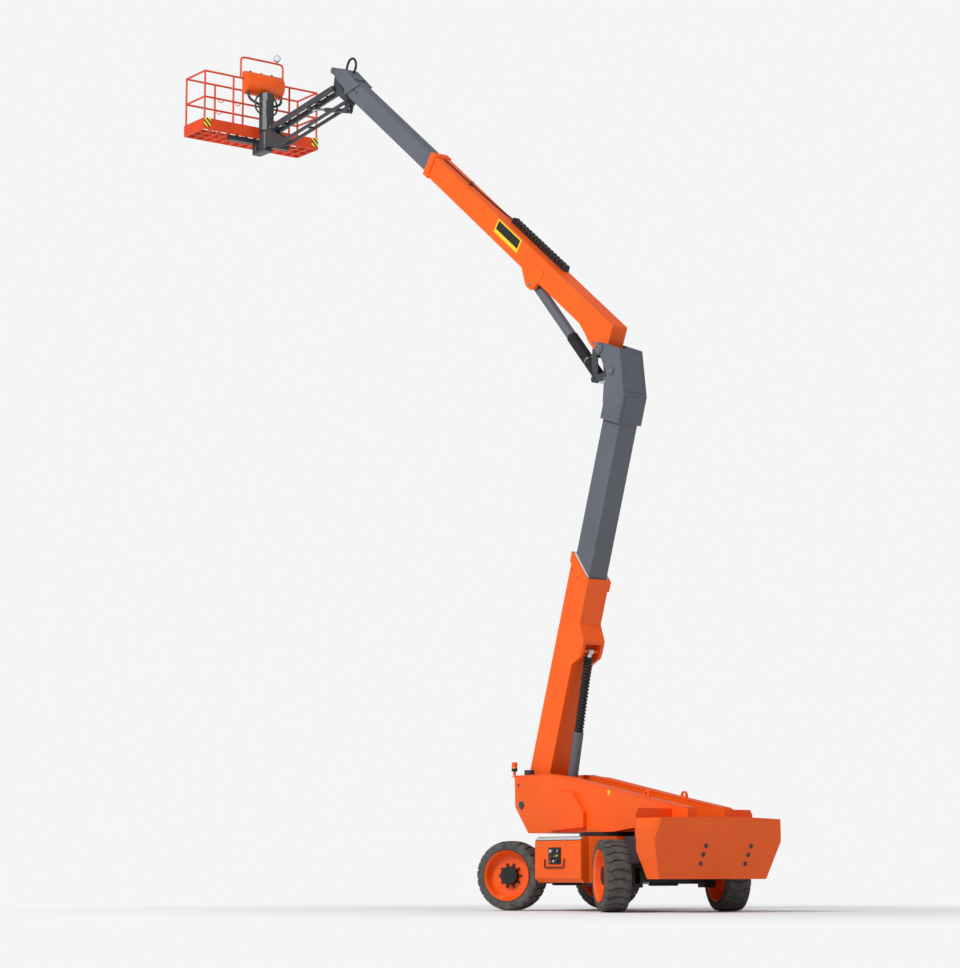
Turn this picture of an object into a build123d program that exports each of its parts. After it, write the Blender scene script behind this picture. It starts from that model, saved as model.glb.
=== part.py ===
# Articulated electric boom lift, both booms telescopic, with a jib and a two-man platform.
# Millimetres. +X forward (towards the platform), +Y left, +Z up, origin on the ground under the slew axis.
import os
from math import atan2, cos, degrees, hypot, radians, sin
from build123d import *

os.makedirs("parts", exist_ok=True)

# Running gear
tyre_diameter = 1057
tyre_width = 380
tyre_shoulder = 34
bead_diameter = 742
lug_reach = 62
lug_depth = 20
rim_lip = 26
rim_wall = 14
rim_disc_offset = 20
rim_disc_thick = 22
hub_diameter = 290
hub_length = 96
nut_circle = 360
nut_count = 10
nut_diameter = 34
nut_height = 26
wheelbase = 2665
kingpin_track = 1556
wheel_offset = 274
steer_left = 26
steer_right = 20
yoke_radius = 78
yoke_thick = 56
yoke_gap = 236
knuckle_width = 120
spindle_diameter = 130
steer_arm_length = 190
steer_arm_thick = 30
steer_rod_diameter = 40
steer_rod_gap = 22
steer_barrel_diameter = 96
steer_barrel_length = 520
axle_height = 190
axle_width = 180

# Chassis
frame_half_width = 420
frame_bottom = 425
frame_top = 1110
frame_arch = 700
frame_end_top = 905
frame_half_length = 1560
frame_deck_half = 1120
frame_belly_half = 1020
side_box_half_length = 560
side_box_root_half = 770
side_box_out = 1080
side_box_knee = 930
side_box_waist = 560
side_box_chamfer = 65
ring_radius = 520
ring_bore = 330
ring_height = 72
lug_plate_thick = 30
tie_bore = 60
tie_plate_width = 150
tie_plate_reach = 150
rear_box_length = 300
rear_box_height = 330

# Turntable
floor_thick = 24
girder_in = 268
girder_out = 440
girder_front = 1925
girder_nose_drop = 485
girder_toe = 1570
girder_top = 2080
girder_peak = 1000
girder_tail = 2250
girder_tail_top = 1498
girder_tail_bottom = 1330
cover_lift = 70
rail_width = 60
weight_rear = 2490
weight_half_top = 1146
weight_half_bottom = 950
weight_top = 1500
weight_shoulder = 1327
weight_arch = 52
weight_bottom = 480
weight_lean = 197
weight_swing_radius = 2275
weight_front = 1500
weight_waist = 1195
weight_side_flat = 250
weight_half_front = 800
weight_bolt_diameter = 56
eye_radius = 70
eye_bore = 34
eye_thick = 30
beacon_diameter = 90
beacon_height = 110
beacon_x = 2040
beacon_bracket_width = 60
beacon_bracket_drop = 170
beacon_bracket_thick = 12

# Lower boom, hinged at the turntable's front
lower_pivot = (1740, 1620)
lower_lean = 18.6
lower_width = 420
lower_depth = 500
wall = 10
lower_start = 190
lower_end_back = 3720
lower_end_front = 4057
collar_length = 160
collar_proud = 20
pivot_pin_diameter = 90
pivot_boss_radius = 120
side_gap = 2
pad_length = 180
pad_half = 70
lower_inner_width = 350
lower_inner_depth = 420
lower_inner_start = 2650
lower_inner_end = 6200

# Lower lift cylinder
lift_base = (1175, 1262)
lift_eye_along = 2619
lift_eye_back = 360
lift_barrel_diameter = 160
lift_barrel_length = 1520
lift_rod_diameter = 90
lift_gaiter_diameter = 150
lift_slot_half = 100
lift_slot_length = 560
lift_eye_width = 90
lift_pin_diameter = 60
ear_thick = 56

# Elbow head, in the lower boom's own axes: along the boom, then forward of its centre line
head_width = 460
head_plate = 32
elbow_pivot = (7252, 585)
head_link_pin = (6964, 170)
elbow_boss_radius = 92
link_boss_radius = 62
link_pin_diameter = 56

# Upper boom, hinged at the elbow
upper_rise = 38.2
upper_width = 300
upper_bottom = 20
upper_top = 400
upper_length = 6260
upper_rear = 75
boom_link_pin = (266, -49)
rod_pin = (-104, -493)
upper_inner_width = 250
upper_inner_bottom = 50
upper_inner_top = 370
upper_inner_start = 4400
upper_inner_end = 9430
upper_wall = 8
upper_chamfer = 26
fork_length = 230
elbow_barrel_pin = (2326, -96)
elbow_barrel_diameter = 170
elbow_barrel_length = 1350
elbow_rod_diameter = 90
elbow_gaiter_diameter = 196
elbow_gaiter_end_gap = 72
elbow_stage_length = 639
elbow_stage_engaged = 120
elbow_stage_collar = 30
elbow_inner_rod_diameter = 64
elbow_inner_rod_engaged = 340
pin_end = 10
rod_eye_half = 100
rocker_in = 104
rocker_out = 126
coupler_in = 153
coupler_out = 175
chain_start = 1885
chain_end = 3680
chain_width = 110
chain_height = 92
chain_pitch = 105

# Boom tip, jib and platform
tip_pivot = (10150, 228)
tip_plate = 26
tip_boss_radius = 58
jib_pin_diameter = 50
jib_arm_pin = (7880, 14820)
jib_link_pin = (7470, 14470)
jib_length = 2135
jib_drop = 6.7
jib_arm_half = 132
jib_arm_tube = 96
jib_arm_side = 56
jib_link_tube = 60
jib_link_side = 34
jib_link_half = 71
jib_link_pin_end = 2
jib_link_boss_radius = 38
jib_cyl_diameter = 84
jib_cyl_foot = (40, -150)
jib_cyl_rod = 50
jib_cyl_pin = 40
jib_cyl_eye = 38
jib_cyl_barrel_length = 685
jib_cyl_rod_start = 380
jib_cyl_lug_share = 0.40
turn_axis_x = 10370
actuator_diameter = 190
actuator_bottom = 14250
actuator_top = 14600
post_side = 250
post_top = 15330
post_gap = 6
platform_length = 2560
platform_depth = 750
platform_floor_z = 14480
platform_rear_gap = 160
rail_tube = 38
weld_ball_share = 1.06
rail_height_over = 1160
toe_height = 170
toe_thick = 4
floor_frame = 50
floor_bar = 30
floor_bar_count = 13
cross_beam_half = 660
cross_beam_height = 90
cross_beam_width = 110
console_length = 820
console_depth = 300
console_height = 440
hoop_rise = 330
cut = 20
seat = 0.3
pin_gap = 0.3


# Planes and frames

def boomPlane(origin, angle, flip):
    """Plane across the machine through a point of the middle plane, X along a boom."""
    a = radians(angle)
    return Plane(origin=(origin[0], 0, origin[1]), x_dir=(cos(a), 0, sin(a)), z_dir=(0, flip, 0))


def worldPoint(plane, point):
    """Ground-frame (x, z) of a point given in a boom's own axes."""
    v = plane.from_local_coords(Vector(point[0], point[1], 0))
    return (v.X, v.Z)


middle = Plane(origin=(0, 0, 0), x_dir=(1, 0, 0), z_dir=(0, -1, 0))
lower_angle = 90 + lower_lean
lowerPlane = boomPlane(lower_pivot, lower_angle, 1)
elbow_world = worldPoint(lowerPlane, elbow_pivot)
upperPlane = boomPlane(elbow_world, upper_rise, -1)
tip_world = worldPoint(upperPlane, tip_pivot)
jibPlane = boomPlane(jib_arm_pin, -jib_drop, -1)
linkPlane = boomPlane(jib_link_pin, -jib_drop, -1)
jib_end_pin = worldPoint(jibPlane, (jib_length, 0))
link_end_pin = worldPoint(linkPlane, (jib_length, 0))
lift_eye = worldPoint(lowerPlane, (lift_eye_along, -lift_eye_back))


def rectPoints(x0, x1, y0, y1):
    return [(x0, y0), (x1, y0), (x1, y1), (x0, y1)]


def slab(plane, points, y0, y1, mode=Mode.ADD):
    """Flat outline drawn on a plane, made solid from offset y0 to offset y1."""
    with BuildSketch(plane.offset(y0)) as face:
        with BuildLine():
            Polyline(*points, close=True)
        make_face()
    extrude(face.sketch, amount=y1 - y0, mode=mode)


def plates(plane, points, inner, outer, mode=Mode.ADD):
    """The same outline as two plates, one each side of the middle plane."""
    slab(plane, points, inner, outer, mode)
    slab(plane, points, -outer, -inner, mode)


def disc(plane, centre, radius, y0, y1, mode=Mode.ADD):
    """Round bar or bore square to a plane."""
    with BuildSketch(plane.offset(y0)) as face:
        with Locations(centre):
            Circle(radius)
    extrude(face.sketch, amount=y1 - y0, mode=mode)


def discs(plane, centre, radius, inner, outer, mode=Mode.ADD):
    disc(plane, centre, radius, inner, outer, mode)
    disc(plane, centre, radius, -outer, -inner, mode)


def bar(start, end, radius, mode=Mode.ADD):
    """Round bar between two points."""
    path = Vector(*end) - Vector(*start)
    with BuildSketch(Plane(origin=start, z_dir=path)) as face:
        Circle(radius)
    extrude(face.sketch, amount=path.length, mode=mode)


def runAlong(start, end):
    """Length and angle of the line between two (x, z) points."""
    return hypot(end[0] - start[0], end[1] - start[1]), degrees(atan2(end[1] - start[1], end[0] - start[0]))


def save(part, name):
    part.label = name
    export_step(part, f"parts/{name}.step")


# Wheels: rim, tyre and hub on an axis that points outboard

wheel_z = tyre_diameter / 2
rim_radius = bead_diameter / 2


def wheelPlane(end, side):
    """Plane at a wheel's centre, its Z pointing outboard, at the steering angle of the rest pose."""
    steer = end * (steer_left if side > 0 else steer_right)
    a = radians(steer)
    outboard = Vector(-sin(a), cos(a), 0) * side
    kingpin = Vector(end * wheelbase / 2, side * kingpin_track / 2, wheel_z)
    return Plane(origin=kingpin + outboard * wheel_offset, x_dir=(cos(a), sin(a), 0), z_dir=outboard)


def kingpinPlane(end, side):
    wheel = wheelPlane(end, side)
    return Plane(origin=wheel.origin - wheel.z_dir * wheel_offset, x_dir=wheel.x_dir, z_dir=wheel.z_dir)


half_tyre = tyre_width / 2
# corner, end (+1 front, -1 rear), side (+1 left, -1 right)
corners = [("front_left", 1, 1), ("front_right", 1, -1), ("rear_left", -1, 1), ("rear_right", -1, -1)]

for corner, end, side in corners:
    wheel = wheelPlane(end, side)
    profilePlane = Plane(origin=wheel.origin, x_dir=wheel.x_dir, z_dir=wheel.x_dir.cross(wheel.z_dir))
    spin = Axis(wheel.origin, wheel.z_dir)

    with BuildPart() as tyre:
        with BuildSketch(profilePlane):
            with BuildLine():
                tread = tyre_diameter / 2
                Polyline(
                    (rim_radius + seat, -half_tyre + rim_lip),
                    (rim_radius + rim_lip, -half_tyre),
                    (tread - lug_reach, -half_tyre),
                    (tread - lug_depth, -half_tyre + tyre_shoulder / 2),
                    (tread, -half_tyre + tyre_shoulder + lug_depth),
                    (tread, half_tyre - tyre_shoulder - lug_depth),
                    (tread - lug_depth, half_tyre - tyre_shoulder / 2),
                    (tread - lug_reach, half_tyre),
                    (rim_radius + rim_lip, half_tyre),
                    (rim_radius + seat, half_tyre - rim_lip),
                    close=True,
                )
            make_face()
        revolve(axis=spin)
    save(tyre.part, f"tyre_{corner}")

    with BuildPart() as rim:
        with BuildSketch(profilePlane):
            with BuildLine():
                well = rim_radius - rim_wall
                disc_out = rim_disc_offset + rim_disc_thick
                Polyline(
                    (0, rim_disc_offset),
                    (well, rim_disc_offset),
                    (well, -half_tyre + rim_lip),
                    (rim_radius + rim_lip / 2, -half_tyre - rim_wall / 2),
                    (rim_radius + rim_lip / 2, -half_tyre),
                    (rim_radius, -half_tyre + rim_lip),
                    (rim_radius, half_tyre - rim_lip),
                    (rim_radius + rim_lip / 2, half_tyre),
                    (rim_radius + rim_lip / 2, half_tyre + rim_wall / 2),
                    (well, half_tyre - rim_lip),
                    (well - rim_disc_thick, disc_out + rim_disc_thick),
                    (well - 2 * rim_disc_thick, disc_out),
                    (0, disc_out),
                    close=True,
                )
            make_face()
        revolve(axis=spin)
    save(rim.part, f"rim_{corner}")

    with BuildPart() as hub:
        with BuildSketch(wheel.offset(disc_out)):
            Circle(hub_diameter / 2)
        extrude(amount=hub_length, taper=6)
        with BuildSketch(wheel.offset(disc_out)):
            with PolarLocations(nut_circle / 2, nut_count):
                RegularPolygon(nut_diameter / 2, 6)
            with PolarLocations((nut_circle + hub_diameter) / 4, nut_count):
                Rectangle((nut_circle - hub_diameter) / 2 + nut_diameter / 2, nut_diameter / 2)
        extrude(amount=nut_height)
    save(hub.part, f"hub_{corner}")

    kingpin = kingpinPlane(end, side)
    upright = Plane(origin=kingpin.origin, x_dir=kingpin.x_dir, z_dir=(0, 0, 1))
    arm_dir = -end
    with BuildPart() as knuckle:
        with BuildSketch(upright.offset(-yoke_gap / 2 + pin_gap)):
            Rectangle(knuckle_width, knuckle_width)
        extrude(amount=yoke_gap - 2 * pin_gap)
        with BuildSketch(kingpin):
            Circle(spindle_diameter / 2)
        extrude(amount=wheel_offset + rim_disc_offset - seat)
        with BuildSketch(upright.offset(-yoke_gap / 2 + pin_gap)):
            with Locations((arm_dir * steer_arm_length / 2, 0)):
                Rectangle(steer_arm_length, 2 * steer_arm_thick)
            with Locations((arm_dir * steer_arm_length, 0)):
                Circle(steer_arm_thick)
        extrude(amount=steer_arm_thick)
    save(knuckle.part, f"knuckle_{corner}")

# Axles: a beam with a yoke at each end, and the steering barrel that it carries
for name, end in (("axle_front", 1), ("axle_rear", -1)):
    axle_x = end * wheelbase / 2
    across = Plane(origin=(axle_x, 0, wheel_z), x_dir=(1, 0, 0), z_dir=(0, 1, 0))
    level = Plane(origin=(axle_x, 0, wheel_z), x_dir=(1, 0, 0), z_dir=(0, 0, 1))
    beam_end = kingpin_track / 2 - knuckle_width
    with BuildPart() as axle:
        slab(across, rectPoints(-axle_width / 2, axle_width / 2, -axle_height / 2, axle_height / 2), -beam_end, beam_end)
        for side in (1, -1):
            for z0 in (-yoke_gap / 2 - yoke_thick, yoke_gap / 2):
                with BuildSketch(level.offset(z0)):
                    with Locations((0, side * kingpin_track / 2)):
                        Circle(yoke_radius)
                    with Locations((0, side * (kingpin_track / 2 + beam_end - knuckle_width / 2) / 2)):
                        Rectangle(2 * yoke_radius, kingpin_track / 2 - beam_end + knuckle_width / 2)
                extrude(amount=yoke_thick)
            with BuildSketch(level.offset(-yoke_gap / 2 - yoke_thick)):
                with Locations((0, side * (beam_end - knuckle_width / 4))):
                    Rectangle(2 * yoke_radius, knuckle_width / 2)
            extrude(amount=yoke_gap + 2 * yoke_thick)
        pad_top = frame_arch - wheel_z
        with BuildSketch(level.offset(axle_height / 2 - cut)):
            Rectangle(axle_width, frame_half_width)
        extrude(amount=pad_top - axle_height / 2 + cut - seat)
        barrel_x = -end * (axle_width / 2 + steer_barrel_diameter / 2 + steer_arm_thick)
        barrel_z = -yoke_gap / 2 + steer_arm_thick / 2 + pin_gap
        centre = (axle_x + barrel_x, 0, wheel_z + barrel_z)
        half = steer_barrel_length / 2
        bar((centre[0], -half, centre[2]), (centre[0], half, centre[2]), steer_barrel_diameter / 2)
        slab(across, rectPoints(min(barrel_x, 0), max(barrel_x, 0), -steer_arm_thick, steer_arm_thick * 2),
             -steer_barrel_diameter / 2, steer_barrel_diameter / 2)
        bar((centre[0], -half - cut, centre[2]), (centre[0], half + cut, centre[2]),
            steer_rod_diameter / 2 + pin_gap, Mode.SUBTRACT)
    save(axle.part, name)

    # The rod runs right through its barrel, from one knuckle's arm to the other's
    rod_left = kingpin_track / 2 - steer_arm_length * sin(radians(steer_left)) - steer_arm_thick - steer_rod_gap
    rod_right = kingpin_track / 2 + steer_arm_length * sin(radians(steer_right)) - steer_arm_thick - steer_rod_gap
    with BuildPart() as steer_rod:
        bar((centre[0], -rod_right, centre[2]), (centre[0], rod_left, centre[2]), steer_rod_diameter / 2)
    save(steer_rod.part, f"steering_rod_{name[5:]}")

# Chassis frame: a box that arches over both axles
frame_outline = [
    (-frame_half_length, frame_arch), (-wheelbase / 2 + axle_width, frame_arch), (-frame_belly_half, frame_bottom),
    (frame_belly_half, frame_bottom), (wheelbase / 2 - axle_width, frame_arch), (frame_half_length, frame_arch),
    (frame_half_length, frame_end_top), (frame_deck_half, frame_top), (-frame_deck_half, frame_top),
    (-frame_half_length, frame_end_top),
]
tie_hole_x = frame_half_length + tie_plate_reach / 2
tie_hole_y = frame_half_width - tie_plate_width / 2
tie_in = frame_half_width - tie_plate_width
with BuildPart() as chassis_frame:
    slab(middle, frame_outline, -frame_half_width, frame_half_width)
    for end in (1, -1):
        lug = rectPoints(end * (frame_half_length - cut), end * (frame_half_length + tie_plate_reach),
                         frame_arch, frame_arch + lug_plate_thick)
        plates(middle, lug, tie_in, frame_half_width)
    with BuildSketch(Plane.XY.offset(frame_arch)):
        with Locations(*[(x * tie_hole_x, y * tie_hole_y) for x in (1, -1) for y in (1, -1)]):
            Circle(tie_bore / 2)
    extrude(amount=lug_plate_thick, mode=Mode.SUBTRACT)
    with BuildSketch(Plane.XY.offset(frame_top)):
        Circle(ring_bore / 2)
    extrude(amount=-ring_bore, mode=Mode.SUBTRACT)
save(chassis_frame.part, "chassis_frame")

# Side boxes between the wheels, cut back so that the steered tyres pass
with BuildPart() as side_box:
    for side in (1, -1):
        plan = [
            (side_box_half_length, side_box_out), (side_box_half_length, side_box_knee),
            (side_box_root_half, side_box_waist), (side_box_root_half, frame_half_width + seat),
            (-side_box_root_half, frame_half_width + seat), (-side_box_root_half, side_box_waist),
            (-side_box_half_length, side_box_knee), (-side_box_half_length, side_box_out),
        ]
        with BuildSketch(Plane.XY.offset(frame_bottom)):
            with BuildLine():
                Polyline(*[(x, side * y) for x, y in plan], close=True)
            make_face()
        extrude(amount=frame_top - frame_bottom)
    outer_edges = side_box.part.edges().filter_by(Axis.X).group_by(SortBy.LENGTH)[0]
    low_edges = [e for e in outer_edges if abs(e.center().Y) > side_box_out - seat]
    chamfer(low_edges, side_box_chamfer)
save(side_box.part, "chassis_side_boxes")

rear_box_x = -frame_half_length - rear_box_length / 2 - seat

with BuildPart() as valve_box:
    with BuildSketch(Plane.XY.offset(frame_arch - rear_box_height / 3)):
        with Locations((rear_box_x + rear_box_length / 4, 0)):
            Rectangle(rear_box_length / 2, 2 * tie_in - 2 * cut)
    extrude(amount=rear_box_height)
    chamfer(valve_box.part.edges().filter_by(Axis.Z), cut)
save(valve_box.part, "chassis_valve_box")

with BuildPart() as slew_ring:
    with BuildSketch(Plane.XY.offset(frame_top)):
        Circle(ring_radius)
        Circle(ring_bore / 2, mode=Mode.SUBTRACT)
    extrude(amount=ring_height)
save(slew_ring.part, "slew_ring")

# Turntable: two side girders on a floor, with the lower boom between them
floor_z = frame_top + ring_height + seat
floor_top = floor_z + floor_thick
girder = [
    (girder_front, girder_top), (girder_front - cut, girder_top - girder_nose_drop), (girder_toe, floor_z),
    (-girder_toe / 3, floor_z), (-girder_tail * 0.7, girder_tail_bottom - 2 * cut), (-girder_tail, girder_tail_bottom),
    (-girder_tail, girder_tail_top), (girder_peak - girder_nose_drop * 0.8, girder_top - 2 * cut), (girder_peak, girder_top),
]
cover_points = [
    # along, up
    (892, 1212), (1074, 1380), (981, 1630), (750, 1820), (366, 1783), (100, 1474), (102, 1255),
]
cover = [(along, up) for along, up in cover_points]
eye_x = -girder_tail * 0.55
slope = (girder_top - girder_tail_top) / (girder_peak + girder_tail)
eye_z = girder_tail_top + (girder_tail + eye_x) * slope + eye_radius / 2
with BuildPart() as turntable:
    plates(middle, girder, girder_in, girder_out)
    slab(middle, rectPoints(-girder_toe, girder_toe - cut, floor_z, floor_top), -girder_in - cut, girder_in + cut)
    slab(middle, rectPoints(-girder_tail, -girder_tail + 2 * cut, girder_tail_bottom, girder_tail_bottom + 3 * cut),
         -girder_in - cut, girder_in + cut)
    slot_front = lift_base[0] + 4 * cut
    slab(middle, rectPoints(slot_front - lift_slot_length, slot_front, floor_z - cut, floor_top + cut),
         -lift_slot_half, lift_slot_half, Mode.SUBTRACT)
    plates(middle, cover, girder_out - cut, girder_out + cover_lift)
    plates(middle, [(eye_x - eye_radius, eye_z - eye_radius), (eye_x + eye_radius, eye_z - eye_radius),
                    (eye_x + eye_radius, eye_z), (eye_x - eye_radius, eye_z)],
           girder_out - rail_width - eye_thick, girder_out - rail_width)
    discs(middle, (eye_x, eye_z), eye_radius, girder_out - rail_width - eye_thick, girder_out - rail_width)
    discs(middle, (eye_x, eye_z + eye_radius / 4), eye_bore, girder_out - rail_width - eye_thick - cut,
          girder_out - rail_width + cut, Mode.SUBTRACT)
    disc(middle, lower_pivot, pivot_pin_diameter / 2, -girder_out - cut / 2, girder_out + cut / 2)
    disc(middle, lift_base, lift_pin_diameter / 2, -girder_in - cut, girder_in + cut)
save(turntable.part, "turntable")

# Counterweight: leaning rear face, bevelled top, and a front hollowed to pass the rear wheels
rear_plane = Plane(origin=(-weight_rear - cut, 0, 0), x_dir=(0, 1, 0), z_dir=(1, 0, 0))
swing_top = frame_top - 2 * cut
with BuildPart() as weight:
    with BuildSketch(rear_plane):
        with BuildLine():
            Polyline(
                (weight_half_top - cut * 3, weight_top), (weight_half_top + weight_side_flat * 0.5, weight_waist),
                (weight_half_bottom + cut * 4, weight_bottom), (-weight_half_bottom - cut * 4, weight_bottom),
                (-weight_half_top - weight_side_flat * 0.5, weight_waist), (-weight_half_top + cut * 3, weight_top),
                close=True,
            )
        make_face()
    extrude(amount=weight_rear + cut - weight_front)
    # Plan outline: flat rear, corners swept forward
    with BuildSketch(Plane.XY.offset(weight_bottom - cut)):
        with BuildLine():
            Polyline(
                (-weight_rear, weight_half_top), (-weight_rear + weight_side_flat, weight_half_top + weight_side_flat),
                (-weight_front + cut, weight_half_front), (-weight_front + cut, -weight_half_front),
                (-weight_rear + weight_side_flat, -weight_half_top - weight_side_flat), (-weight_rear, -weight_half_top),
                close=True,
            )
        make_face()
    extrude(amount=weight_top, mode=Mode.INTERSECT)
    # The rear face leans forward towards its foot
    slab(middle, [(-weight_rear - cut, weight_shoulder), (-weight_rear, weight_shoulder),
                  (-weight_rear + weight_lean, weight_bottom - 1), (-weight_rear - cut, weight_bottom - 1)],
         -2 * weight_half_top, 2 * weight_half_top, Mode.SUBTRACT)
    # Bevelled top, ruled forward and up from an arched edge
    bevel_rise = weight_top - weight_shoulder
    with BuildSketch(rear_plane) as above:
        with BuildLine():
            top_line = Polyline((2 * weight_half_top, weight_shoulder - weight_arch), (2 * weight_half_top, 2 * weight_top),
                                (-2 * weight_half_top, 2 * weight_top), (-2 * weight_half_top, weight_shoulder - weight_arch))
            ThreePointArc(top_line @ 1, (0, weight_shoulder + weight_arch), top_line @ 0)
        make_face()
    extrude(above.sketch, amount=2 * bevel_rise, dir=(1, 0, 0.55), mode=Mode.SUBTRACT)
    with BuildSketch(Plane.XY.offset(weight_bottom - cut)):
        Circle(weight_swing_radius)
    extrude(amount=swing_top - weight_bottom + cut, mode=Mode.SUBTRACT)
    slab(middle, rectPoints(-girder_tail - 2 * seat, 0, swing_top - cut, weight_top + cut),
         -girder_out - seat, girder_out + seat, Mode.SUBTRACT)
save(weight.part, "counterweight")

with BuildPart() as beacon:
    base = Plane.XY.offset(girder_top)
    beacon_y = (girder_in + girder_out) / 2
    bracket_back = girder_front + seat
    foot = rectPoints(bracket_back, bracket_back + beacon_bracket_thick, girder_top - beacon_bracket_drop, girder_top)
    shelf = rectPoints(bracket_back, beacon_x + beacon_diameter / 2, girder_top - beacon_bracket_thick, girder_top + 1)
    for outline in (foot, shelf):
        slab(middle, outline, -beacon_y - beacon_bracket_width / 2, -beacon_y + beacon_bracket_width / 2)
    with BuildSketch(base.offset(seat)):
        with Locations((beacon_x, beacon_y)):
            Circle(beacon_diameter / 4)
    extrude(amount=beacon_height)
    with BuildSketch(base.offset(beacon_height)):
        with Locations((beacon_x, beacon_y)):
            Circle(beacon_diameter / 2)
    extrude(amount=beacon_height)
save(beacon.part, "beacon")

# Lower boom, outer section
half_w = lower_width / 2
half_d = lower_depth / 2
inner_w = lower_inner_width / 2
inner_d = lower_inner_depth / 2
collar_slant = lower_end_front - lower_end_back
with BuildPart() as lower_outer:
    slab(lowerPlane, [(lower_start, -half_d), (lower_end_back, -half_d), (lower_end_front, half_d), (lower_start, half_d)],
         -half_w, half_w)
    collar = [
        (lower_end_back - collar_length, -half_d - collar_proud), (lower_end_back, -half_d - collar_proud),
        (lower_end_front, half_d + collar_proud), (lower_end_front - collar_length, half_d + collar_proud),
    ]
    slab(lowerPlane, collar, -half_w - collar_proud, half_w + collar_proud)
    slab(lowerPlane, [(lower_start + wall, -half_d + wall), (lower_end_back + collar_slant + cut, -half_d + wall),
                      (lower_end_front + cut, half_d - wall), (lower_start + wall, half_d - wall)],
         -half_w + wall, half_w - wall, Mode.SUBTRACT)
    base_plates = [
        (lower_start + 3 * cut, -half_d), (lower_start + 3 * cut, half_d), (0, pivot_boss_radius),
        (-pivot_boss_radius * 0.7, pivot_boss_radius * 0.7), (-pivot_boss_radius, 0),
        (-pivot_boss_radius * 0.7, -pivot_boss_radius * 0.7), (0, -pivot_boss_radius),
    ]
    plates(lowerPlane, base_plates, half_w - 3 * wall, half_w)
    discs(lowerPlane, (0, 0), pivot_boss_radius * 0.75, half_w - 4 * wall, girder_in - side_gap)
    eye = (lift_eye_along, -lift_eye_back)
    box_back = -half_d - 9 * cut
    slab(lowerPlane, [(lift_eye_along + 6 * cut, -half_d + wall), (lift_eye_along + 6 * cut, box_back),
                      (lift_eye_along + 9 * cut, box_back), (lift_eye_along + 21 * cut, -half_d + wall)], -half_w, half_w)
    plates(lowerPlane, [(lift_eye_along - 13 * cut, -half_d + wall), (lift_eye_along - 5 * cut, box_back + cut),
                        (lift_eye_along, box_back), (lift_eye_along + 7 * cut, box_back),
                        (lift_eye_along + 7 * cut, -half_d + wall)], half_w - ear_thick, half_w)
    discs(lowerPlane, eye, lift_pin_diameter / 2, lift_eye_width / 2 + side_gap, half_w + cut / 2)
    disc(lowerPlane, (0, 0), pivot_pin_diameter / 2 + pin_gap, -girder_in, girder_in, Mode.SUBTRACT)
    # Slide pads that carry the inner section, at the mouth
    pad_end = lower_end_back - cut
    for y0, y1 in ((inner_w + seat, half_w - wall + 1), (-half_w + wall - 1, -inner_w - seat)):
        slab(lowerPlane, rectPoints(pad_end - pad_length, pad_end, -pad_half, pad_half), y0, y1)
    for t0, t1 in ((inner_d + seat, half_d - wall + 1), (-half_d + wall - 1, -inner_d - seat)):
        slab(lowerPlane, rectPoints(pad_end - pad_length, pad_end, t0, t1), -pad_half, pad_half)
save(lower_outer.part, "lower_boom_outer")

# Lower lift cylinder
lift_length, lift_angle = runAlong(lift_base, lift_eye)
liftPlane = boomPlane(lift_base, lift_angle, 1)


def cylinderBarrel(plane, radius, length, eye_half, pin_radius, bore_radius):
    """Barrel with an eye at its foot and an open bore for its rod."""
    disc(plane, (0, 0), radius * 0.85, -eye_half, eye_half)
    turned = Plane(origin=plane.origin, z_dir=plane.x_dir)
    with BuildSketch(turned) as round_bar:
        Circle(radius)
    extrude(round_bar.sketch.moved(Location(plane.x_dir * radius * 0.7)), amount=length - radius * 0.7)
    with BuildSketch(turned) as bore:
        Circle(bore_radius)
    extrude(bore.sketch.moved(Location(plane.x_dir * radius * 2)), amount=length, mode=Mode.SUBTRACT)
    disc(plane, (0, 0), pin_radius, -eye_half - cut, eye_half + cut, Mode.SUBTRACT)


def gaiterBellows(plane, start, end, radius, bore_radius, folds):
    """Rubber bellows over a rod, a zigzag profile turned about the rod."""
    pitch = (end - start) / folds
    outline = [(start, bore_radius), (start, radius * 0.86)]
    for i in range(folds):
        outline += [(start + (i + 0.5) * pitch, radius), (start + (i + 1) * pitch, radius * 0.86)]
    outline += [(end, bore_radius)]
    with BuildSketch(plane) as half:
        with BuildLine():
            Polyline(*outline, close=True)
        make_face()
    revolve(half.sketch, axis=Axis(plane.origin, plane.x_dir))


with BuildPart() as lift_barrel:
    cylinderBarrel(liftPlane, lift_barrel_diameter / 2, lift_barrel_length, lift_eye_width / 2,
                   lift_pin_diameter / 2 + pin_gap, lift_rod_diameter / 2 + pin_gap)
save(lift_barrel.part, "lower_cylinder_barrel")

with BuildPart() as lift_rod:
    rod_start = lift_barrel_length - 6 * cut
    turned = Plane(origin=liftPlane.origin + liftPlane.x_dir * rod_start, z_dir=liftPlane.x_dir)
    with BuildSketch(turned):
        Circle(lift_rod_diameter / 2)
    extrude(amount=lift_length - rod_start)
    disc(liftPlane, (lift_length, 0), lift_rod_diameter * 0.6, -lift_eye_width / 2, lift_eye_width / 2)
save(lift_rod.part, "lower_cylinder_rod")

with BuildPart() as lift_gaiter:
    gaiterBellows(liftPlane, lift_barrel_length + seat, lift_length - lift_rod_diameter, lift_gaiter_diameter / 2,
                  lift_rod_diameter / 2 + seat, 14)
save(lift_gaiter.part, "lower_cylinder_gaiter")

# Lower boom, inner section
with BuildPart() as lower_inner:
    slab(lowerPlane, rectPoints(lower_inner_start, lower_inner_end, -inner_d, inner_d), -inner_w, inner_w)
    slab(lowerPlane, rectPoints(lower_inner_start - cut, lower_inner_end + cut, -inner_d + wall, inner_d - wall),
         -inner_w + wall, inner_w - wall, Mode.SUBTRACT)
save(lower_inner.part, "lower_boom_inner")

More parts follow.
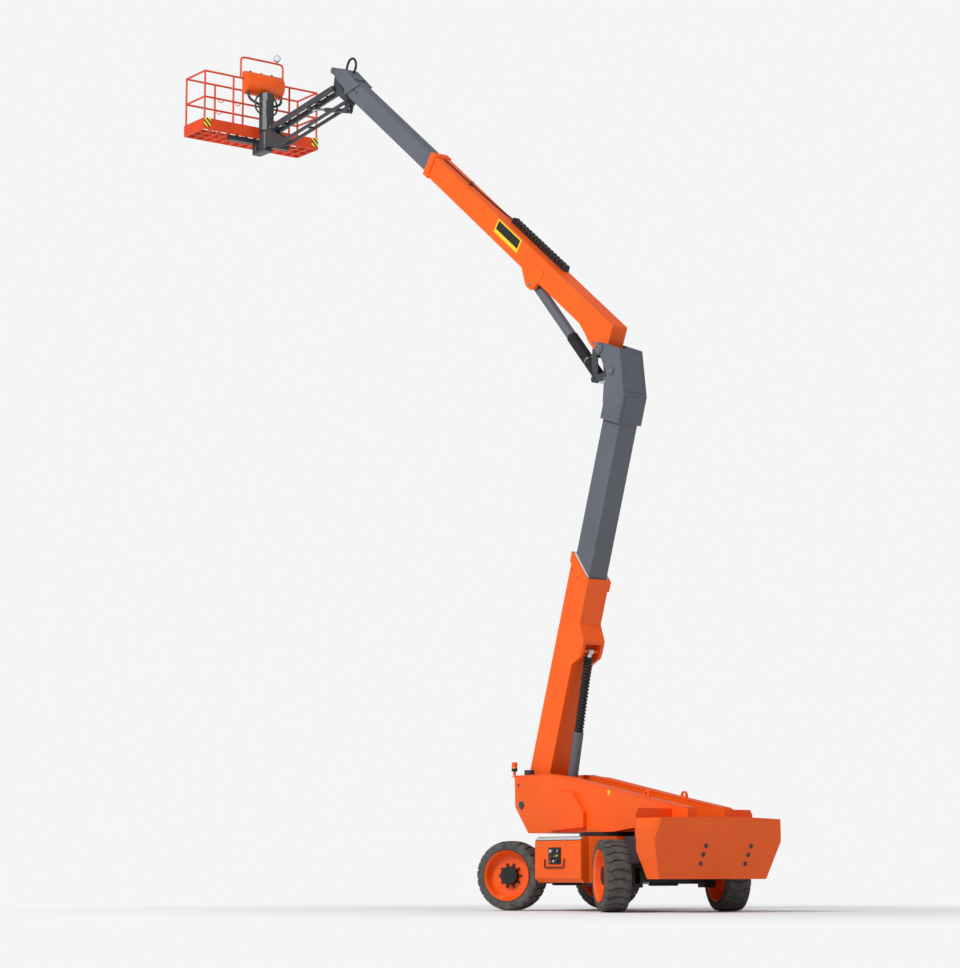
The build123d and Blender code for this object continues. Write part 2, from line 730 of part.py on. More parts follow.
# Elbow head: side plates, a two-plane back, and a pocket for the links
head_half = head_width / 2
head_start = lower_inner_end + seat
back = -inner_d - 3 * wall
crown = elbow_pivot[0] + 80
head_outline = [
    (head_start, back), (head_start + 460, back), (crown, 90), (crown + 14, elbow_pivot[1] - 40),
    (elbow_pivot[0], elbow_pivot[1] + 88), (elbow_pivot[0] - 88, elbow_pivot[1] + 10), (elbow_pivot[0] - 120, elbow_pivot[1] - 60),
    (head_link_pin[0] - 100, head_link_pin[1] + 90), (head_link_pin[0] - 240, head_link_pin[1] + 130),
    (head_link_pin[0] - 420, head_link_pin[1] + 92), (head_link_pin[0] - 560, inner_d + wall), (head_start, inner_d + wall),
]
pocket = [
    (head_start + 40, back + head_plate), (head_start + 455, back + head_plate), (crown - head_plate, 90 + head_plate * 0.4),
    (crown + 60, 130), (crown + 60, 800), (head_start + 150, 800), (head_start + 150, inner_d + wall - head_plate),
    (head_start + 40, inner_d + wall - head_plate),
]
with BuildPart() as head:
    slab(lowerPlane, head_outline, -head_half, head_half)
    slab(lowerPlane, pocket, -head_half + head_plate, head_half - head_plate, Mode.SUBTRACT)
    discs(lowerPlane, elbow_pivot, elbow_boss_radius, head_half - head_plate, head_half + cut)
    discs(lowerPlane, head_link_pin, link_boss_radius, coupler_out + side_gap, head_half + cut)
    disc(lowerPlane, elbow_pivot, pivot_pin_diameter / 2 + pin_gap, -head_width, head_width, Mode.SUBTRACT)
    disc(lowerPlane, head_link_pin, link_pin_diameter / 2 + pin_gap, -head_width, head_width, Mode.SUBTRACT)
save(head.part, "elbow_head")

# Elbow pins, each its own piece: the boom turns on one, the coupler, rocker and cylinder on the others
pin_half = head_half + cut + pin_end
boom_pin_half = upper_width / 2 + cut
elbow_pins = [
    # name, plane, centre, diameter, half length
    ("elbow_pin", lowerPlane, elbow_pivot, pivot_pin_diameter, pin_half),
    ("coupler_pin", lowerPlane, head_link_pin, link_pin_diameter, pin_half),
    ("rocker_pin", upperPlane, boom_link_pin, link_pin_diameter, boom_pin_half),
    ("elbow_cylinder_pin", upperPlane, elbow_barrel_pin, link_pin_diameter, boom_pin_half),
]
for name, plane, centre, diameter, half_length in elbow_pins:
    with BuildPart() as pin:
        disc(plane, centre, diameter / 2, -half_length, half_length)
    save(pin.part, name)

# Elbow links: the rocker hangs from the upper boom, the coupler from the head
rocker_length, rocker_angle = runAlong(boom_link_pin, rod_pin)
with BuildPart() as rocker:
    turn = Plane(origin=upperPlane.from_local_coords(Vector(*boom_link_pin)), x_dir=(
        upperPlane.x_dir * cos(radians(rocker_angle)) + upperPlane.y_dir * sin(radians(rocker_angle))), z_dir=upperPlane.z_dir)
    plates(turn, [(0, -52), (rocker_length * 0.5, -46), (rocker_length, -50), (rocker_length, 56),
                  (rocker_length * 0.5, 96), (0, 52)], rocker_in, rocker_out)
    discs(turn, (0, 0), link_boss_radius, rocker_in, rocker_out)
    discs(turn, (rocker_length, 0), link_boss_radius, rocker_in, rocker_out)
    discs(turn, (rocker_length, 0), link_pin_diameter / 2, rocker_out - 1, coupler_in - side_gap / 2)
    disc(turn, (rocker_length * 0.35, 0), link_pin_diameter / 2, -rocker_in - 1, rocker_in + 1)
    disc(turn, (0, 0), link_pin_diameter / 2 + pin_gap, -rocker_out - 1, rocker_out + 1, Mode.SUBTRACT)
save(rocker.part, "elbow_rocker")

coupler_start = worldPoint(lowerPlane, head_link_pin)
rod_pin_world = worldPoint(upperPlane, rod_pin)
coupler_length, coupler_angle = runAlong(coupler_start, rod_pin_world)
couplerPlane = boomPlane(coupler_start, coupler_angle, -1)
with BuildPart() as coupler:
    plates(couplerPlane, [(0, -50), (coupler_length * 0.5, -34), (coupler_length, -50), (coupler_length, 50),
                          (coupler_length * 0.5, 34), (0, 50)], coupler_in, coupler_out)
    for at in (0, coupler_length):
        discs(couplerPlane, (at, 0), link_boss_radius, coupler_in, coupler_out)
    discs(couplerPlane, (coupler_length, 0), link_pin_diameter / 2, coupler_out - 1, coupler_out + cut)
    disc(couplerPlane, (0, 0), link_pin_diameter / 2 + pin_gap, -coupler_out - 1, coupler_out + 1, Mode.SUBTRACT)
save(coupler.part, "elbow_coupler")

# Upper boom, outer section
up_w = upper_width / 2
with BuildPart() as upper_outer:
    slab(upperPlane, [(0, upper_bottom), (upper_length, upper_bottom), (upper_length, upper_top), (cut, upper_top)], -up_w, up_w)
    collar = [
        (upper_length - collar_length, upper_bottom - collar_proud), (upper_length, upper_bottom - collar_proud),
        (upper_length, upper_top + collar_proud), (upper_length - collar_length, upper_top + collar_proud),
    ]
    slab(upperPlane, collar, -up_w - collar_proud, up_w + collar_proud)
    knee = [
        (-upper_rear, 60), (cut, upper_top), (1000, upper_top), (1000, upper_bottom), (787, upper_bottom), (560, -38),
        (430, -92), (320, -118), (200, -122), (60, -100), (-40, -84), (-upper_rear - 5, -30),
    ]
    slab(upperPlane, knee, -up_w, up_w)
    gusset = [
        (2704, upper_bottom + 10), (2690, 110), (2560, 200), (2320, 262), (2112, 249), (2090, 180), (2200, -110),
        (2260, -160), (2400, -165), (2480, -120),
    ]
    plates(upperPlane, gusset, up_w - ear_thick, up_w + wall)
    tube_in = rectPoints(140, upper_length + cut, upper_bottom + upper_wall, upper_top - upper_wall)
    slab(upperPlane, tube_in, -up_w + upper_wall, up_w - upper_wall, Mode.SUBTRACT)
    pocket_under = [(85, -200), (85, 30), (700, 30), (700, -200)]
    slab(upperPlane, pocket_under, -up_w + 2 * wall, up_w - 2 * wall, Mode.SUBTRACT)
    hub_bottom = -pivot_pin_diameter / 2 - wall
    slab(upperPlane, rectPoints(-upper_rear - cut, 86, -upper_top, hub_bottom), -up_w + 2 * wall, up_w - 2 * wall, Mode.SUBTRACT)
    discs(upperPlane, (0, 0), elbow_boss_radius * 0.85, up_w - cut, head_half - head_plate - side_gap)
    disc(upperPlane, (0, 0), pivot_pin_diameter / 2 + pin_gap, -head_half, head_half, Mode.SUBTRACT)
    for centre in (boom_link_pin, elbow_barrel_pin):
        disc(upperPlane, centre, link_pin_diameter / 2 + pin_gap, -head_half, head_half, Mode.SUBTRACT)
    pad_mid = (upper_inner_bottom + upper_inner_top) / 2
    for y0, y1 in ((upper_inner_width / 2 + seat, up_w - upper_wall + 1), (-up_w + upper_wall - 1, -upper_inner_width / 2 - seat)):
        slab(upperPlane, rectPoints(upper_length - pad_length, upper_length - cut, pad_mid - pad_half, pad_mid + pad_half), y0, y1)
    for q0, q1 in ((upper_bottom + upper_wall - 1, upper_inner_bottom - seat), (upper_inner_top + seat, upper_top - upper_wall + 1)):
        slab(upperPlane, rectPoints(upper_length - pad_length, upper_length - cut, q0, q1), -pad_half, pad_half)
save(upper_outer.part, "upper_boom_outer")

# Hose chain on a tray on top of the upper boom
with BuildPart() as chain:
    chain_y0 = -up_w + wall
    for i in range(int((chain_end - chain_start) / chain_pitch)):
        x = chain_start + i * chain_pitch
        slab(upperPlane, [(x, upper_top + seat), (x + chain_pitch, upper_top + seat), (x + chain_pitch * 0.9, upper_top + chain_height),
                          (x + chain_pitch * 0.3, upper_top + chain_height)], -chain_y0 - chain_width, -chain_y0)
save(chain.part, "hose_chain")

# Elbow cylinder, barrel end on the upper boom
elbow_length, elbow_turn = runAlong(elbow_barrel_pin, rod_pin)
barrel_world = worldPoint(upperPlane, elbow_barrel_pin)
elbowPlane = boomPlane(barrel_world, upper_rise + elbow_turn, -1)
with BuildPart() as elbow_barrel:
    cylinderBarrel(elbowPlane, elbow_barrel_diameter / 2, elbow_barrel_length, up_w - ear_thick - side_gap,
                   link_pin_diameter / 2 + pin_gap, elbow_rod_diameter / 2 + pin_gap)
save(elbow_barrel.part, "elbow_cylinder_barrel")

# A sleeve slides in the barrel and the rod slides in the sleeve
stage_end = elbow_barrel_length + elbow_stage_length
inner_rod = elbow_inner_rod_diameter / 2
with BuildPart() as elbow_stage:
    stage_start = elbow_barrel_length - elbow_stage_engaged
    turned = Plane(origin=elbowPlane.origin + elbowPlane.x_dir * stage_start, z_dir=elbowPlane.x_dir)
    with BuildSketch(turned):
        Circle(elbow_rod_diameter / 2)
    extrude(amount=stage_end - stage_start)
    with BuildSketch(turned.offset(stage_end - stage_start - elbow_stage_collar)):
        Circle(elbow_gaiter_diameter * 0.4)
    extrude(amount=elbow_stage_collar)
    with BuildSketch(turned):
        Circle(inner_rod + pin_gap)
    extrude(amount=stage_end - stage_start, mode=Mode.SUBTRACT)
save(elbow_stage.part, "elbow_cylinder_sleeve")

with BuildPart() as elbow_rod:
    rod_start = stage_end - elbow_inner_rod_engaged
    turned = Plane(origin=elbowPlane.origin + elbowPlane.x_dir * rod_start, z_dir=elbowPlane.x_dir)
    with BuildSketch(turned):
        Circle(inner_rod)
    extrude(amount=elbow_length - rod_start)
    disc(elbowPlane, (elbow_length, 0), link_boss_radius, -rod_eye_half, rod_eye_half)
save(elbow_rod.part, "elbow_cylinder_rod")

with BuildPart() as sleeve_gaiter:
    gaiterBellows(elbowPlane, elbow_barrel_length + seat, stage_end - elbow_stage_collar - seat,
                  elbow_gaiter_diameter / 2, elbow_rod_diameter / 2 + seat, 7)
save(sleeve_gaiter.part, "elbow_sleeve_gaiter")

with BuildPart() as elbow_gaiter:
    gaiterBellows(elbowPlane, stage_end + seat, elbow_length - elbow_gaiter_end_gap, elbow_gaiter_diameter / 2,
                  inner_rod + seat, 5)
save(elbow_gaiter.part, "elbow_cylinder_gaiter")

# Upper boom, inner section, with its hose tray
in_w = upper_inner_width / 2
inner_section = [
    (-in_w, upper_inner_bottom), (in_w, upper_inner_bottom), (in_w, upper_inner_top - upper_chamfer),
    (in_w - upper_chamfer, upper_inner_top), (-in_w + upper_chamfer, upper_inner_top), (-in_w, upper_inner_top - upper_chamfer),
]
sectionPlane = Plane(origin=upperPlane.origin + upperPlane.x_dir * upper_inner_start, x_dir=(0, 1, 0), z_dir=upperPlane.x_dir)
section_flip = 1 if sectionPlane.y_dir.dot(upperPlane.y_dir) > 0 else -1
with BuildPart() as upper_inner:
    for shrink, mode, extra in ((0, Mode.ADD, 0), (upper_wall, Mode.SUBTRACT, cut)):
        with BuildSketch(sectionPlane.offset(-extra)):
            with BuildLine():
                Polyline(*[(x, section_flip * y) for x, y in inner_section], close=True)
            make_face()
            if shrink:
                offset(amount=-shrink, mode=Mode.REPLACE)
        extrude(amount=upper_inner_end - upper_inner_start + 2 * extra, mode=mode)
    # Open underneath at the tip, where the jib's bracket swings in as the boom rises
    slab(upperPlane, rectPoints(upper_inner_end - fork_length, upper_inner_end + cut, upper_inner_bottom - cut,
                                upper_inner_bottom + 2 * upper_wall), -in_w + upper_wall, in_w - upper_wall, Mode.SUBTRACT)
save(upper_inner.part, "upper_boom_inner")

# Boom tip: a nose between the tube and the levelling pin
tip_start = upper_inner_end + seat
tip_x, tip_q = tip_pivot
tip_half = in_w + 6
with BuildPart() as tip:
    sleeve = [
        (tip_start - 260, upper_inner_top + 12), (tip_start - 60, upper_inner_bottom + 130), (tip_start + 60, upper_inner_bottom - 10),
        (tip_start + 130, upper_inner_bottom + 60), (tip_x - 60, tip_q - 50), (tip_x, tip_q - tip_boss_radius),
        (tip_x + tip_boss_radius, tip_q), (tip_x, tip_q + tip_boss_radius), (tip_x - 330, upper_inner_top + 40),
    ]
    plates(upperPlane, sleeve, in_w + 0.3, in_w + 0.3 + tip_plate)
    slab(upperPlane, [(tip_start, upper_inner_top), (tip_x - 330, upper_inner_top + 20), (tip_x - 330, upper_inner_top + 40),
                      (tip_start, upper_inner_top + 26)], -in_w - 1, in_w + 1)
    discs(upperPlane, tip_pivot, tip_boss_radius, in_w - 20, in_w + tip_plate + 10)
    disc(upperPlane, tip_pivot, jib_pin_diameter / 2, -in_w - tip_plate, in_w + tip_plate)
save(tip.part, "boom_tip")

# Levelling rocker on the tip pin, and the jib bracket beside it
tipPlane = boomPlane(tip_world, 0, -1)
to_arm = (jib_arm_pin[0] - tip_world[0], jib_arm_pin[1] - tip_world[1])
to_link = (jib_link_pin[0] - tip_world[0], jib_link_pin[1] - tip_world[1])
pin_bore = jib_pin_diameter / 2 + pin_gap
with BuildPart() as levelling_rocker:
    slab(tipPlane, [(-50, 0), (50, 0), (10, -230), (-70, -250), (-110, -200)], -26, 26)
    disc(tipPlane, (0, 0), tip_boss_radius, -26, 26)
    disc(tipPlane, (0, 0), pin_bore, -30, 30, Mode.SUBTRACT)
save(levelling_rocker.part, "levelling_rocker")

bracket_in = 48
bracket_out = 66
foot_local = (to_link[0] + jib_cyl_foot[0], to_link[1] + jib_cyl_foot[1])
link_reach = jib_link_half + jib_link_side + jib_link_pin_end
with BuildPart() as jib_bracket:
    plates(tipPlane, [(-52, 10), (52, 10), (to_arm[0] + 56, to_arm[1]), (to_arm[0] + 20, to_arm[1] - 60),
                      (to_link[0] + 60, to_link[1] + 20), (foot_local[0] + 44, foot_local[1] - 10),
                      (foot_local[0] + 10, foot_local[1] - 44), (foot_local[0] - 40, foot_local[1] - 16),
                      (to_link[0] - 46, to_link[1] - 20), (to_link[0] - 20, to_link[1] + 60), (-60, -220)],
           bracket_in, bracket_out)
    discs(tipPlane, (0, 0), tip_boss_radius, bracket_in, bracket_out)
    disc(tipPlane, foot_local, jib_cyl_pin / 2, -bracket_out - side_gap / 2, bracket_out + side_gap / 2)
    disc(tipPlane, (0, 0), pin_bore, -bracket_out - 1, bracket_out + 1, Mode.SUBTRACT)
    disc(tipPlane, to_arm, jib_pin_diameter / 2, -jib_arm_half - cut / 2, jib_arm_half + cut / 2)
    disc(tipPlane, to_link, jib_pin_diameter / 2, -link_reach, link_reach)
save(jib_bracket.part, "jib_bracket")

# Jib: a twin-tube arm above a lighter twin link
with BuildPart() as jib_arm:
    arm_in = jib_arm_half - jib_arm_side
    plates(jibPlane, rectPoints(0, jib_length, -jib_arm_tube / 2, jib_arm_tube / 2), arm_in, jib_arm_half)
    for at in (0, jib_length):
        discs(jibPlane, (at, 0), jib_arm_tube / 2, arm_in, jib_arm_half)
    for share in (0.30, 0.86):
        x = jib_length * share
        slab(jibPlane, rectPoints(x, x + 60, -30, 30), -arm_in - 1, arm_in + 1)
    lug_x = jib_length * jib_cyl_lug_share
    plates(jibPlane, [(lug_x - 70, -jib_arm_tube / 2 + 10), (lug_x - 30, -jib_arm_tube / 2 - 60), (lug_x + 30, -jib_arm_tube / 2 - 60),
                      (lug_x + 70, -jib_arm_tube / 2 + 10)], arm_in, arm_in + 20)
    lug_y = -jib_arm_tube / 2 - 30
    discs(jibPlane, (lug_x, lug_y), jib_pin_diameter / 2, 28, arm_in + 20)
    for at in (0, jib_length):
        disc(jibPlane, (at, 0), pin_bore, -jib_arm_half - 1, jib_arm_half + 1, Mode.SUBTRACT)
save(jib_arm.part, "jib_arm")

with BuildPart() as jib_link:
    link_in = jib_link_half
    link_out = jib_link_half + jib_link_side
    plates(linkPlane, rectPoints(0, jib_length, -jib_link_tube / 2, jib_link_tube / 2), link_in, link_out)
    for at in (0, jib_length):
        discs(linkPlane, (at, 0), jib_link_boss_radius, link_in, link_out)
    slab(linkPlane, rectPoints(jib_length * 0.62, jib_length * 0.62 + 40, -20, 20), -link_in - 1, link_in + 1)
    for at in (0, jib_length):
        disc(linkPlane, (at, 0), pin_bore, -link_out - 1, link_out + 1, Mode.SUBTRACT)
save(jib_link.part, "jib_link")

# Jib cylinder: foot under the bracket's link pin, rod to the lug under the arm
foot_world = (tip_world[0] + foot_local[0], tip_world[1] + foot_local[1])
lug_world = worldPoint(jibPlane, (lug_x, lug_y))
jib_cyl_length, jib_cyl_angle = runAlong(foot_world, lug_world)
jibCylPlane = boomPlane(foot_world, jib_cyl_angle, -1)
with BuildPart() as jib_barrel:
    turned = Plane(origin=jibCylPlane.origin + jibCylPlane.x_dir * 105, z_dir=jibCylPlane.x_dir)
    with BuildSketch(turned):
        Circle(jib_cyl_diameter / 2)
        Circle(jib_cyl_rod / 2 + pin_gap, mode=Mode.SUBTRACT)
    extrude(amount=jib_cyl_barrel_length)
    with BuildSketch(turned):
        Circle(jib_cyl_diameter / 2)
    extrude(amount=-70)
    disc(jibCylPlane, (0, 0), jib_cyl_eye, -bracket_in + 5 * side_gap, bracket_in - 5 * side_gap)
    disc(jibCylPlane, (0, 0), jib_cyl_pin / 2 + pin_gap, -bracket_in, bracket_in, Mode.SUBTRACT)
save(jib_barrel.part, "jib_cylinder_barrel")

with BuildPart() as jib_rod:
    turned = Plane(origin=jibCylPlane.origin + jibCylPlane.x_dir * jib_cyl_rod_start, z_dir=jibCylPlane.x_dir)
    with BuildSketch(turned):
        Circle(jib_cyl_rod / 2)
    extrude(amount=jib_cyl_length - jib_cyl_rod_start)
    disc(jibCylPlane, (jib_cyl_length, 0), 40, -25, 25)
save(jib_rod.part, "jib_cylinder_rod")

# Jib end: carries the platform's turning post
endPlane = boomPlane((0, 0), 0, -1)
with BuildPart() as jib_end:
    end_in = 40
    end_out = 66
    outline = [
        (link_end_pin[0] - 40, link_end_pin[1] - 30), (link_end_pin[0] + 30, link_end_pin[1] - 46), (turn_axis_x - 60, actuator_bottom + 10),
        (turn_axis_x - 60, actuator_top - 10), (jib_end_pin[0] + 20, jib_end_pin[1] + 56), (jib_end_pin[0] - 50, jib_end_pin[1] + 30),
        (jib_end_pin[0] - 40, jib_end_pin[1] - 90), (link_end_pin[0] - 30, link_end_pin[1] + 40),
    ]
    plates(endPlane, outline, end_in, end_out)
    disc(endPlane, jib_end_pin, jib_pin_diameter / 2, -jib_arm_half - cut / 2, jib_arm_half + cut / 2)
    disc(endPlane, link_end_pin, jib_pin_diameter / 2, -link_reach, link_reach)
    with BuildSketch(Plane.XY.offset(actuator_bottom)):
        with Locations((turn_axis_x, 0)):
            Circle(actuator_diameter / 2)
    extrude(amount=actuator_top - actuator_bottom)
save(jib_end.part, "jib_end")

# Platform support: a post over the actuator, a foot under it and a cross beam under the floor
floor_low = platform_floor_z
beam_top = floor_low - seat
beam_bottom = beam_top - cross_beam_height
platform_rear = turn_axis_x + platform_rear_gap
platform_front = platform_rear + platform_depth
post_half = post_side / 2
with BuildPart() as post:
    with BuildSketch(Plane.XY.offset(actuator_top + seat)):
        with Locations((turn_axis_x, 0)):
            Rectangle(post_side, post_side)
    extrude(amount=post_top - actuator_top - seat)
    chamfer(post.part.edges().filter_by(Axis.Z), 3 * cut)
    web = rectPoints(turn_axis_x - actuator_diameter / 2, platform_rear + 190, actuator_bottom - 60, actuator_bottom - post_gap)
    slab(middle, web, -90, 90)
    slab(middle, rectPoints(platform_rear + 60, platform_rear + 190, actuator_bottom - 60, beam_top), -90, 90)
    slab(middle, rectPoints(platform_rear + 70, platform_rear + 70 + cross_beam_width, beam_bottom, beam_top),
         -cross_beam_half, cross_beam_half)
    spine_x = turn_axis_x + actuator_diameter / 2 + post_gap
    slab(middle, rectPoints(spine_x, platform_rear - 2, actuator_bottom - 60, post_top - 60), -60, 60)
save(post.part, "platform_post")

# Platform floor: an open grid in a frame, with toe boards round it
px0, px1 = platform_rear, platform_front
half_l = platform_length / 2
with BuildPart() as floor:
    slab(middle, rectPoints(px0, px1, floor_low, floor_low + floor_frame), -half_l, half_l)
    slab(middle, rectPoints(px0 + floor_bar, px1 - floor_bar, floor_low - cut, floor_low + floor_frame + cut),
         -half_l + floor_bar, half_l - floor_bar, Mode.SUBTRACT)
    for share in (1 / 3, 2 / 3):
        x = px0 + platform_depth * share
        slab(middle, rectPoints(x - floor_bar / 2, x + floor_bar / 2, floor_low, floor_low + floor_frame), -half_l + 1, half_l - 1)
    for i in range(1, floor_bar_count):
        y = -half_l + platform_length * i / floor_bar_count
        slab(middle, rectPoints(px0 + 1, px1 - 1, floor_low, floor_low + floor_bar), y - floor_bar / 2, y + floor_bar / 2)
    # Toe boards
    deck_z = floor_low + floor_frame
    for x in (px0 + seat, px1 - seat - toe_thick):
        slab(middle, rectPoints(x, x + toe_thick, deck_z - seat, deck_z + toe_height), -half_l + seat, half_l - seat)
    for y in (-half_l + seat, half_l - seat - toe_thick):
        slab(middle, rectPoints(px0 + seat, px1 - seat, deck_z - seat, deck_z + toe_height), y, y + toe_thick)
save(floor.part, "platform_floor")

# Platform rails
rail_r = rail_tube / 2
rail_z0 = floor_low + floor_frame
rail_top = floor_low + rail_height_over - rail_r
rail_mid = floor_low + rail_height_over * 0.55
rail_in = rail_r + 2 * toe_thick
rx0, rx1 = px0 + rail_in, px1 - rail_in
ry = half_l - rail_in
with BuildPart() as rails:
    ring = [(rx0, -ry), (rx1, -ry), (rx1, ry), (rx0, ry)]
    for z in (rail_top, rail_mid):
        for i in range(4):
            a, b = ring[i], ring[(i + 1) % 4]
            bar((a[0], a[1], z), (b[0], b[1], z), rail_r)
            with Locations((a[0], a[1], z)):
                Sphere(rail_r * weld_ball_share)
    for x, y in ring + [(rx0, -ry / 2), (rx0, ry / 2), (rx1, -ry / 2), (rx1, 0), (rx1, ry / 2)]:
        bar((x, y, rail_z0), (x, y, rail_top), rail_r)
save(rails.part, "platform_rails")

# Console on the rear rail and the post's top, under a guard hoop
console_bottom = post_top + seat
console_x0 = rx0 - rail_r - console_depth * 0.62
with BuildPart() as console:
    profile = [
        (console_x0, console_bottom + 60), (console_x0 + 60, console_bottom), (rx0 - rail_r - 4, console_bottom),
        (rx0 - rail_r - 4, rail_top + 40), (rx0 + 60, rail_top + 90), (rx0 + 30, rail_top + 150), (console_x0 + 60, rail_top + 150),
        (console_x0, rail_top + 90),
    ]
    slab(middle, profile, -console_length / 2, console_length / 2)
save(console.part, "control_console")

with BuildPart() as hoop:
    hoop_y = console_length / 2 + 60
    hoop_z = rail_top + hoop_rise
    legs = [(hoop_y, rail_top + rail_r + seat), (hoop_y, hoop_z), (-hoop_y, hoop_z), (-hoop_y, rail_top + rail_r + seat)]
    for i in range(3):
        a, b = legs[i], legs[i + 1]
        bar((rx0, a[0], a[1]), (rx0, b[0], b[1]), rail_r)
    for y in (hoop_y, -hoop_y):
        with Locations((rx0, y, hoop_z)):
            Sphere(rail_r * weld_ball_share)
save(hoop.part, "guard_hoop")

print("elbow", elbow_world, "tip", tip_world, "jib end", jib_end_pin, link_end_pin)
print("rod pin", rod_pin_world, "lift eye", lift_eye, lift_length, "elbow cyl", barrel_world, elbow_length)
print("jib cyl", foot_world, lug_world, jib_cyl_length)
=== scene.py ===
import bpy
from math import cos, pi, radians, sin
from mathutils import Matrix, Vector


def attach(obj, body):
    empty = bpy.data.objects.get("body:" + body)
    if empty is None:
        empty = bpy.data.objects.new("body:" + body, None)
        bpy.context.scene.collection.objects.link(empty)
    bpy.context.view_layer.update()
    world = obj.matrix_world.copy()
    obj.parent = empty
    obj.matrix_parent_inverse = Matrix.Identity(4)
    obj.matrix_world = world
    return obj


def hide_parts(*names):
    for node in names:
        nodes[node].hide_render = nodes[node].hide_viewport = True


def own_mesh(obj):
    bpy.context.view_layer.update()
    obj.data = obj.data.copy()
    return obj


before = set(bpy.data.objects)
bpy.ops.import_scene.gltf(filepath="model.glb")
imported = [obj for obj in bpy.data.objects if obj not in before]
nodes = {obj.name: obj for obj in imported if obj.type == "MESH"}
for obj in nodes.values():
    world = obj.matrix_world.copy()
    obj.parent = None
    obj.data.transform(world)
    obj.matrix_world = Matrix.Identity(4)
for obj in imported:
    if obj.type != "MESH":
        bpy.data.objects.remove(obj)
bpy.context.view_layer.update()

bpy.ops.object.select_all(action="DESELECT")
scene = bpy.context.scene
scene.view_settings.view_transform = "Standard"
print("frame loaded")

# Boom axes, as in the model's source, in metres
lowerPivot = Vector((1.740, 0, 1.620))
lowerAngle = radians(108.6)
upperAngle = radians(38.2)
lowerAlong = Vector((cos(lowerAngle), 0, sin(lowerAngle)))
lowerFront = Vector((sin(lowerAngle), 0, -cos(lowerAngle)))
elbow = lowerPivot + lowerAlong * 7.252 + lowerFront * 0.585
upperAlong = Vector((cos(upperAngle), 0, sin(upperAngle)))
upperUp = Vector((-sin(upperAngle), 0, cos(upperAngle)))


def onLower(s, t, y=0.0):
    return lowerPivot + lowerAlong * s + lowerFront * t + Vector((0, y, 0))


def onUpper(p, q, y=0.0):
    return elbow + upperAlong * p + upperUp * q + Vector((0, y, 0))


# Materials
paintFacts = {
    "low": 0.35, "high": 0.75, "specular": 0.30, "coatRoughness": 0.12, "bumpDistance": 0.004, "detail": 6,
}


def mix(tree, a, b, factor):
    node = tree.nodes.new("ShaderNodeMixRGB")
    node.inputs["Color1"].default_value = (*a, 1)
    node.inputs["Color2"].default_value = (*b, 1)
    tree.links.new(factor, node.inputs["Fac"])
    return node.outputs["Color"]


def finish(name, color, second, rough, metal=0.0, coat=0.0, scale=3.0, bump=0.0, bumpScale=60.0):
    material = bpy.data.materials.new(name)
    material.use_nodes = True
    tree = material.node_tree
    shader = tree.nodes["Principled BSDF"]
    coords = tree.nodes.new("ShaderNodeTexCoord")
    noise = tree.nodes.new("ShaderNodeTexNoise")
    noise.inputs["Scale"].default_value = scale
    noise.inputs["Detail"].default_value = paintFacts["detail"]
    tree.links.new(coords.outputs["Object"], noise.inputs["Vector"])
    ramp = tree.nodes.new("ShaderNodeValToRGB")
    ramp.color_ramp.elements[0].position = paintFacts["low"]
    ramp.color_ramp.elements[1].position = paintFacts["high"]
    tree.links.new(noise.outputs["Fac"], ramp.inputs["Fac"])
    tree.links.new(mix(tree, color, second, ramp.outputs["Color"]), shader.inputs["Base Color"])
    shader.inputs["Roughness"].default_value = rough
    shader.inputs["Metallic"].default_value = metal
    shader.inputs["Coat Weight"].default_value = coat
    if not metal:
        shader.inputs["Specular IOR Level"].default_value = paintFacts["specular"]
    shader.inputs["Coat Roughness"].default_value = paintFacts["coatRoughness"]
    if bump:
        grain = tree.nodes.new("ShaderNodeTexNoise")
        grain.inputs["Scale"].default_value = bumpScale
        grain.inputs["Detail"].default_value = 4
        tree.links.new(coords.outputs["Object"], grain.inputs["Vector"])
        bumpNode = tree.nodes.new("ShaderNodeBump")
        bumpNode.inputs["Strength"].default_value = bump
        bumpNode.inputs["Distance"].default_value = paintFacts["bumpDistance"]
        tree.links.new(grain.outputs["Fac"], bumpNode.inputs["Height"])
        tree.links.new(bumpNode.outputs["Normal"], shader.inputs["Normal"])
    return material


orange = finish(
    "orangePaint", (0.93, 0.118, 0.005), (0.86, 0.102, 0.004), 0.46,
    coat=0.06, scale=1.2, bump=0.05, bumpScale=180.0,
)
orangeShiny = finish("orangeShiny", (0.92, 0.112, 0.005), (0.84, 0.096, 0.004), 0.34, coat=0.25, scale=2.0)
railOrange = finish("railOrange", (0.74, 0.062, 0.010), (0.64, 0.050, 0.008), 0.45, coat=0.08, scale=4.0)
greyPaint = finish(
    "greyPaint", (0.112, 0.123, 0.146), (0.096, 0.106, 0.128), 0.45,
    coat=0.12, scale=1.5, bump=0.05, bumpScale=160.0,
)
darkGrey = finish("darkGrey", (0.052, 0.055, 0.062), (0.040, 0.043, 0.050), 0.48, coat=0.15, scale=4.0)
blackPaint = finish("blackPaint", (0.018, 0.018, 0.020), (0.012, 0.012, 0.014), 0.45, coat=0.1, scale=6.0)
rubber = finish(
    "tyreRubber", (0.058, 0.055, 0.053), (0.120, 0.114, 0.108), 0.82, scale=9.0, bump=0.35, bumpScale=90.0,
)
gaiterRubber = finish("gaiterRubber", (0.018, 0.018, 0.020), (0.028, 0.028, 0.030), 0.55, scale=20.0)
steel = finish("rodSteel", (0.62, 0.63, 0.65), (0.52, 0.53, 0.55), 0.18, metal=1.0, scale=12.0)
zinc = finish("zincSteel", (0.50, 0.50, 0.50), (0.38, 0.38, 0.38), 0.38, metal=1.0, scale=30.0)
paleGrey = finish("paleGrey", (0.55, 0.56, 0.57), (0.48, 0.49, 0.50), 0.5, scale=8.0)
yellow = finish("yellowPaint", (0.86, 0.60, 0.030), (0.80, 0.54, 0.025), 0.45, scale=6.0)
